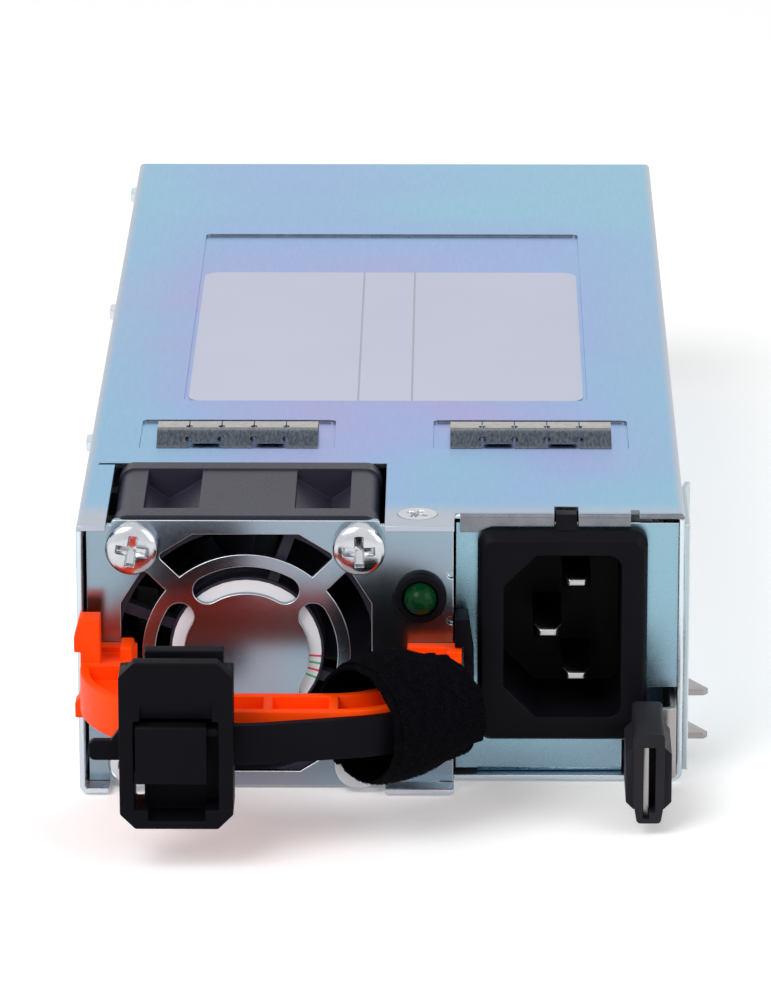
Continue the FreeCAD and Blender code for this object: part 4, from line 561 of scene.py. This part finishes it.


# spring fingers: one foil arched over the length, slit from both edges; each slit ends in a round hole, so that the
# fingers part where the slit's half width is above nothing and are one sheet between the holes; the cut edges are
# rubbed bright, and the crest takes the same bright finish as a painted highlight over some rubbing wear
def fingerStrip(settings, centre):
    count, pitch, length, foil = settings["count"], settings["pitch"], settings["length"], settings["foil"]
    hole, keys, toe, shoulder = settings["hole"], settings["keys"], settings["toe"], settings["shoulder"]
    rows, columns, holeRows = settings["steps"]
    slack, wornAndHighlight = 1e-4, 1  # rounding in the rows, and the slot of the bright finish
    around = np.sin(np.linspace(-np.pi / 2, np.pi / 2, holeRows)) * hole
    y = np.unique(np.concatenate([np.linspace(0, length, rows)] + [key + around for key in keys]).round(6))
    rings = [np.sqrt(np.clip(hole ** 2 - (y - key) ** 2, 0, None)) for key in keys]
    halfSlit = settings["slit"] / 2
    notch = np.maximum(np.where((y < keys[0]) | (y > keys[1]), halfSlit, 0), np.maximum(*rings))
    parted = (y <= keys[0] + hole + slack), (y >= keys[1] - hole - slack)
    near, far = np.searchsorted(y, settings["crest"])
    surfaces = []
    for index in range(count):
        inset = settings["shorten"] if index in settings["short"] else 0.0
        run = np.maximum(y, inset)
        up = smoothRamp(run, toe, shoulder)
        down = 1 - smoothRamp(run, length - shoulder, length - toe)
        crown = settings["crown"] * np.sin(np.pi * run / length)
        rise = settings["rise"] - foil - settings["crown"]
        height = settings["seat"] + foil + (rise + crown) * up * down
        slope = np.gradient(height, y)
        tilt = np.sqrt(1 + slope ** 2)
        left = centre + (index - count / 2) * pitch + (notch if index else halfSlit)
        right = centre + (index + 1 - count / 2) * pitch - (notch if index < count - 1 else halfSlit)
        left, right = np.broadcast_to(left, y.shape), np.broadcast_to(right, y.shape)
        x = left[:, None] + np.linspace(0, 1, columns) * (right - left)[:, None]
        top = np.stack([x, np.broadcast_to((settings["front"] + run)[:, None], x.shape),
                        np.broadcast_to(height[:, None], x.shape)], axis=-1)
        under = top + np.stack([np.zeros_like(y), slope / tilt, -1 / tilt], axis=-1)[:, None] * foil
        under[:, :, 2] = np.maximum(under[:, :, 2], settings["seat"])
        # the rows over the crest take the second slot: a painted highlight over some rubbing wear
        surfaces += [gridFaces(top[:near + 1]), (*gridFaces(top[near:far + 1]), wornAndHighlight), gridFaces(top[far:])]
        surfaces.append(gridFaces(under))
        surfaces += [(*gridFaces(np.stack([top[row], under[row]])), wornAndHighlight) for row in (0, -1)]
        for column, outer in ((0, index == 0), (-1, index == count - 1)):
            for cut in ((np.ones_like(y, bool),) if outer else parted):
                surfaces.append((*gridFaces(np.stack([top[cut, column], under[cut, column]])), wornAndHighlight))
    return surfaces


# steps: rows along the strip, columns over a finger, rows over a hole
# crest: the run in millimetres along the strip that takes the painted highlight
fingers = {"centres": (-21.4, 21.4), "count": 5, "pitch": 4.72, "slit": 0.16, "front": -60.7, "length": 12.2,
           "seat": 39.6, "rise": 1.68, "crown": 0.12, "foil": 0.2, "toe": 0.1, "shoulder": 4.2, "short": (1, 3),
           "shorten": 1.5, "hole": 0.5, "keys": (2.1, 5.8), "crest": (5.3, 8.4), "steps": (49, 6, 15)}
for side, centre in zip(("left", "right"), fingers["centres"]):
    makePiece("springFingers_" + side, fingerStrip(fingers, centre), "module", finishes["tin"], sharp=30,
              replaced=("contact_strip_" + side,), trim=finishes["wornAndHighlight"])
print("lamp and spring fingers made")


# hook-and-loop band: a strip wound in a spiral, radius growing by the strip's thickness each turn, ruffled by waves,
# puckered towards the far rim, with a belly over the middle of the roll and a sag in its top towards the far rim
def bandRadius(band, turn, along):
    across = along / band["width"]
    upward = np.sin(turn + math.radians(band["start"]))
    wobble = sum(high * np.sin(often * turn + skew * along + shift) for high, often, skew, shift in band["waves"])
    often, skew = band["puckers"]
    pucker = smoothRamp(across, *band["puckered"]) * np.sin(often * turn + skew * along)
    sag = band["sag"] * smoothRamp(across, *band["sagging"]) * np.clip(upward, 0, 1)
    hump = np.clip(1 - ((across - band["bellyAt"]) / band["bellyHalf"]) ** 2, 0, 1)
    belly = band["belly"] * hump * (band["bellyEven"] - (1 - band["bellyEven"]) * upward)
    spiral = band["inner"] + band["pitch"] * turn / (2 * np.pi)
    return spiral + wobble * band["ruffle"] + pucker * band["pucker"] + belly - sag


# each turn lies a little further along than the one under it
def bandDrift(band, turn):
    return band["drift"] * (turn / (np.pi * band["turns"]) - 1)


# a point at a radius and turn about the roll's level axis, so far along it
def bandPoint(band, radius, turn, along):
    angle = math.radians(band["turn"])
    axis = np.array([math.cos(angle), math.sin(angle), 0])
    side = np.array([-math.sin(angle), math.cos(angle), 0])
    up = np.array([0, 0, 1.0])
    start = turn + math.radians(band["start"])
    return (np.asarray(band["centre"]) + along[..., None] * axis + (radius * np.cos(start))[..., None] * side
            + (radius * np.sin(start))[..., None] * up)


# its loops: small hoops of thread standing on the outer turn and on the rims; each rises as half a sine wave, leans
# any way, and is a thin tube about that line
def threadLoops(band, settings):
    count, rings, sides = settings["count"], settings["rings"], settings["sides"]
    turn = (band["turns"] - rng.random(count) * settings["turns"]) * 2 * np.pi
    onRim = rng.random(count) < settings["rim"]
    rim = np.sign(rng.random(count) - 0.5) * band["width"] / 2 * rng.uniform(*settings["rimInset"], count)
    along = np.where(onRim, rim, rng.uniform(-0.5, 0.5, count) * band["width"])
    foot = band["thick"] * np.where(onRim, rng.random(count), settings["foot"])
    low = (bandRadius(band, turn, along) + foot)[:, None]
    tall = rng.uniform(*settings["height"], count)[:, None]
    span = rng.uniform(*settings["span"], count)[:, None]
    lean = rng.uniform(0, 2 * np.pi, count)[:, None]
    s = np.linspace(0, 1, rings)[None]
    arch = np.sin(np.pi * s) * tall
    rise = arch * np.where(onRim, settings["rimUp"], 1.0)[:, None]
    out = arch * np.where(onRim, settings["rimOut"], 0.0)[:, None] * np.sign(along)[:, None]
    step = (s - 0.5) * span
    hoopTurn = turn[:, None] + step * np.cos(lean) / low
    hoopAlong = along[:, None] + step * np.sin(lean) + out + bandDrift(band, turn)[:, None]
    line = bandPoint(band, low + rise, hoopTurn, hoopAlong)
    tangent = np.gradient(line, axis=1)
    tangent /= np.linalg.norm(tangent, axis=2, keepdims=True)
    flat = np.cross(tangent, rng.normal(size=(count, 1, 3)))
    flat /= np.linalg.norm(flat, axis=2, keepdims=True)
    other = np.cross(tangent, flat)
    turns = np.linspace(0, 2 * np.pi, sides, endpoint=False)[:, None]
    ringPoints = np.cos(turns) * flat[:, :, None] + np.sin(turns) * other[:, :, None]
    tube = line[:, :, None] + settings["thread"] * ringPoints
    ring, side = np.meshgrid(np.arange(rings - 1), np.arange(sides), indexing="ij")
    here, ahead, after = ring * sides, (ring + 1) * sides, (side + 1) % sides
    quad = np.stack([here + side, here + after, ahead + after, ahead + side], axis=-1).reshape(1, -1, 4)
    faces = quad + (np.arange(count) * rings * sides)[:, None, None]
    return [(tube.reshape(-1, 3), faces.reshape(-1, 4))]


# millimetres and degrees; waves and frays as height, count per turn, skew along the roll where it has one, and phase
band = {"centre": (3.0, -112.1, 17.5), "turn": 40.0, "start": 300.0, "inner": 7.4, "pitch": 0.46, "thick": 0.42,
        "turns": 1.75, "width": 15.0, "drift": 1.0, "steps": (420, 40),
        "ruffle": 0.5, "waves": ((0.10, 3, 0.4, 0.0), (0.07, 5, -0.7, 1.3)),
        "pucker": 0.16, "puckers": (11, 0.5), "puckered": (0.15, 0.5), "sag": 2.0, "sagging": (-0.15, 0.5),
        "belly": 1.0, "bellyAt": -0.12, "bellyHalf": 0.45, "bellyEven": 0.8,
        "frays": ((0.10, 7, 0.0), (0.07, 17, 1.0)), "fray": 0.04, "frayPower": 4, "fuzz": 0.03, "fuzzInside": 0.4}
loops = {"count": 6000, "turns": 1.02, "rim": 0.22, "rimInset": (0.97, 1.0), "foot": 0.95, "height": (0.06, 0.22),
         "span": (0.25, 0.7), "rimUp": 0.35, "rimOut": 0.7, "thread": 0.028, "rings": 6, "sides": 3}
turn = np.linspace(0, 2 * np.pi * band["turns"], band["steps"][0])
along = np.linspace(-0.5, 0.5, band["steps"][1]) * band["width"]
t, w = np.meshgrid(turn, along, indexing="ij")
frayed = sum(high * np.sin(often * t + shift) for high, often, shift in band["frays"])
frayed = frayed + band["fray"] * rng.normal(size=t.shape[0])[:, None]
ragged = w + frayed * (2 * w / band["width"]) ** band["frayPower"] + bandDrift(band, t)
fuzz = band["fuzz"] * rng.normal(size=t.shape)
inside = bandPoint(band, bandRadius(band, t, w) + fuzz * band["fuzzInside"], t, ragged)
outside = bandPoint(band, bandRadius(band, t, w) + band["thick"] + fuzz, t, ragged)
stripSurfaces = [gridFaces(inside), gridFaces(outside)]
for first, second in ((inside[:, 0], outside[:, 0]), (inside[:, -1], outside[:, -1]), (inside[0], outside[0]),
                      (inside[-1], outside[-1])):
    stripSurfaces.append(gridFaces(np.stack([first, second])))
bandStrip = makePiece("bandStrip", stripSurfaces, "module", finishes["fabric"], sharp=60,
                      replaced=("hook_and_loop_band",))
bandLoops = makePiece("bandLoops", threadLoops(band, loops), "module", finishes["loops"], sharp=180)


# fan wheel: a cup, and blades whose section turns from root to tip and thins from nose to tail
def fanWheel(settings):
    cx, cz = fanCentre
    front, back, hub, edge = settings["front"], settings["back"], settings["hub"], settings["round"]
    wall, bore, root = settings["wall"], settings["bore"], settings["hub"] - settings["sunk"]
    cup = [(0, back)] + quarterRound(hub - edge, back - edge, edge, steps=8)
    cup += [(hub, front), (hub - wall, front), (hub - wall, back - wall), (bore, back - wall), (bore, front),
            (0, front)]
    surfaces = [turned(cup, (cx, 0, cz), (0, 1, 0), settings["around"])]
    v = np.linspace(0, 1, settings["steps"][0])
    u = np.linspace(0, 2 * np.pi, settings["steps"][1], endpoint=False)
    s, a = np.meshgrid(v, u, indexing="ij")
    radius = root + (settings["tip"] - root) * s
    chord = settings["chord"] * (1 - settings["narrow"] * s)
    lean = settings["rootLean"] + (settings["tipLean"] - settings["rootLean"]) * s
    along = np.cos(a) / 2
    thick = settings["thick"] * np.sin(a) * (settings["nose"] + (settings["tail"] - settings["nose"]) * (along + 0.5))
    bow = settings["bow"] * (1 - 4 * along ** 2)
    axial = (front + back) / 2 + chord * along
    around = 2 * lean * along + thick + bow
    for index in range(settings["blades"]):
        turnBy = 2 * np.pi * index / settings["blades"] + around / radius
        points = np.stack([cx + radius * np.cos(turnBy), axial, cz + radius * np.sin(turnBy)], axis=-1)
        surfaces.append(gridFaces(points, closeCols=True))
        for row in (points[-1], points[0]):
            middle = np.broadcast_to(row.mean(axis=0), row.shape)
            surfaces.append(gridFaces(np.stack([row, middle]), closeCols=True))
    return surfaces


wheel = {"front": -90.0, "back": -69.0, "hub": 11.0, "round": 1.2, "wall": 1.4, "bore": 1.0, "sunk": 0.4, "tip": 17.5,
         "blades": 7, "chord": 16.0, "narrow": 0.12, "rootLean": 3.0, "tipLean": 5.2, "thick": 0.55, "nose": 1.05,
         "tail": 0.45, "bow": 0.8, "steps": (14, 40), "around": 96}
makePiece("fanWheel", fanWheel(wheel), "rotor", finishes["fan"], sharp=40, replaced=("fan_rotor",))
print("fan wheel made")


# 1 for rays that show a surface to the eye or in a reflection, 0 for those that only carry light
def seenRays(tree):
    ray = addNode(tree, "LightPath").outputs
    seen = calculate(tree, "MAXIMUM", ray["Is Camera Ray"], ray["Is Glossy Ray"])
    return calculate(tree, "MAXIMUM", seen, ray["Is Transmission Ray"])


# a lamp or camera stood at a place, looking against its third axis
def standAt(thing, right, up, back, place):
    thing.matrix_world = Matrix([[right[i], up[i], back[i], place[i]] for i in range(3)] + [[0, 0, 0, 1]])
    bpy.context.scene.collection.objects.link(thing)


# floor and light, in metres
studio = {"floor": (0.90, 0.90, 0.90), "lift": 0.18, "ambient": 0.62, "size": 8.0, "drop": 0.0003}
mesh = bpy.data.meshes.new("floor")
half, drop = studio["size"] / 2, studio["drop"]
corners = [(-half, -half, -drop), (half, -half, -drop), (half, half, -drop), (-half, half, -drop)]
mesh.from_pydata(corners, [], [(0, 1, 2, 3)])
floor = bpy.data.objects.new("floor", mesh)
bpy.context.scene.collection.objects.link(floor)
paint, tree, shader = newMaterial("floorPaint")
lift = calculate(tree, "MULTIPLY", seenRays(tree), studio["lift"])
setInputs(tree, shader, {"Base Color": (*studio["floor"], 1), "Roughness": 0.9, "Specular IOR Level": 0.0,
                         "Emission Color": (1, 1, 1, 1), "Emission Strength": lift})
mesh.materials.append(paint)

world = bpy.data.worlds.new("studioWorld")
bpy.context.scene.world = world
world.use_nodes = True
tree = world.node_tree
strength = addNode(tree, "MapRange", {"Value": seenRays(tree), "To Min": studio["ambient"], "To Max": 1.0})
setInputs(tree, tree.nodes["Background"], {"Color": (1, 1, 1, 1), "Strength": strength.outputs[0]})

lamps = {"key": {"place": (-0.55, -0.75, 0.95), "size": 0.7, "power": 9.0},
         "fill": {"place": (0.85, -0.55, 0.55), "size": 0.8, "power": 4.0}}
for name, settings in lamps.items():
    data = bpy.data.lights.new(name, "AREA")
    data.size = settings["size"]
    data.energy = settings["power"]
    place = np.array(settings["place"])
    back = place / np.linalg.norm(place)
    right = np.cross([0, 0, 1.0], back)
    right /= np.linalg.norm(right)
    standAt(bpy.data.objects.new(name, data), right, np.cross(back, right), back, place)
print("studio set")

# camera: eye place, turn about the vertical, dip and roll, in metres and radians
view = {"eye": (0.010915, -0.983280, 0.329610), "yaw": 0.01158, "dip": 0.31216, "roll": -0.00147, "lens": 239.391,
        "sensor": 36.0, "far": 50}
yaw, dip, roll = view["yaw"], view["dip"], view["roll"]
level = np.array([-math.sin(yaw), math.cos(yaw), 0])
right = np.array([math.cos(yaw), math.sin(yaw), 0])
ahead = math.cos(dip) * level + np.array([0, 0, -math.sin(dip)])
up = math.sin(dip) * level + np.array([0, 0, math.cos(dip)])
right, up = math.cos(roll) * right + math.sin(roll) * up, -math.sin(roll) * right + math.cos(roll) * up
cameraData = bpy.data.cameras.new("camera")
cameraData.lens = view["lens"]
cameraData.sensor_width = view["sensor"]
cameraData.sensor_fit = "AUTO"
cameraData.clip_end = view["far"]
camera = bpy.data.objects.new("camera", cameraData)
standAt(camera, right, up, -ahead, view["eye"])
bpy.context.scene.camera = camera
bpy.context.scene.view_settings.view_transform = "Standard"
print("camera set")
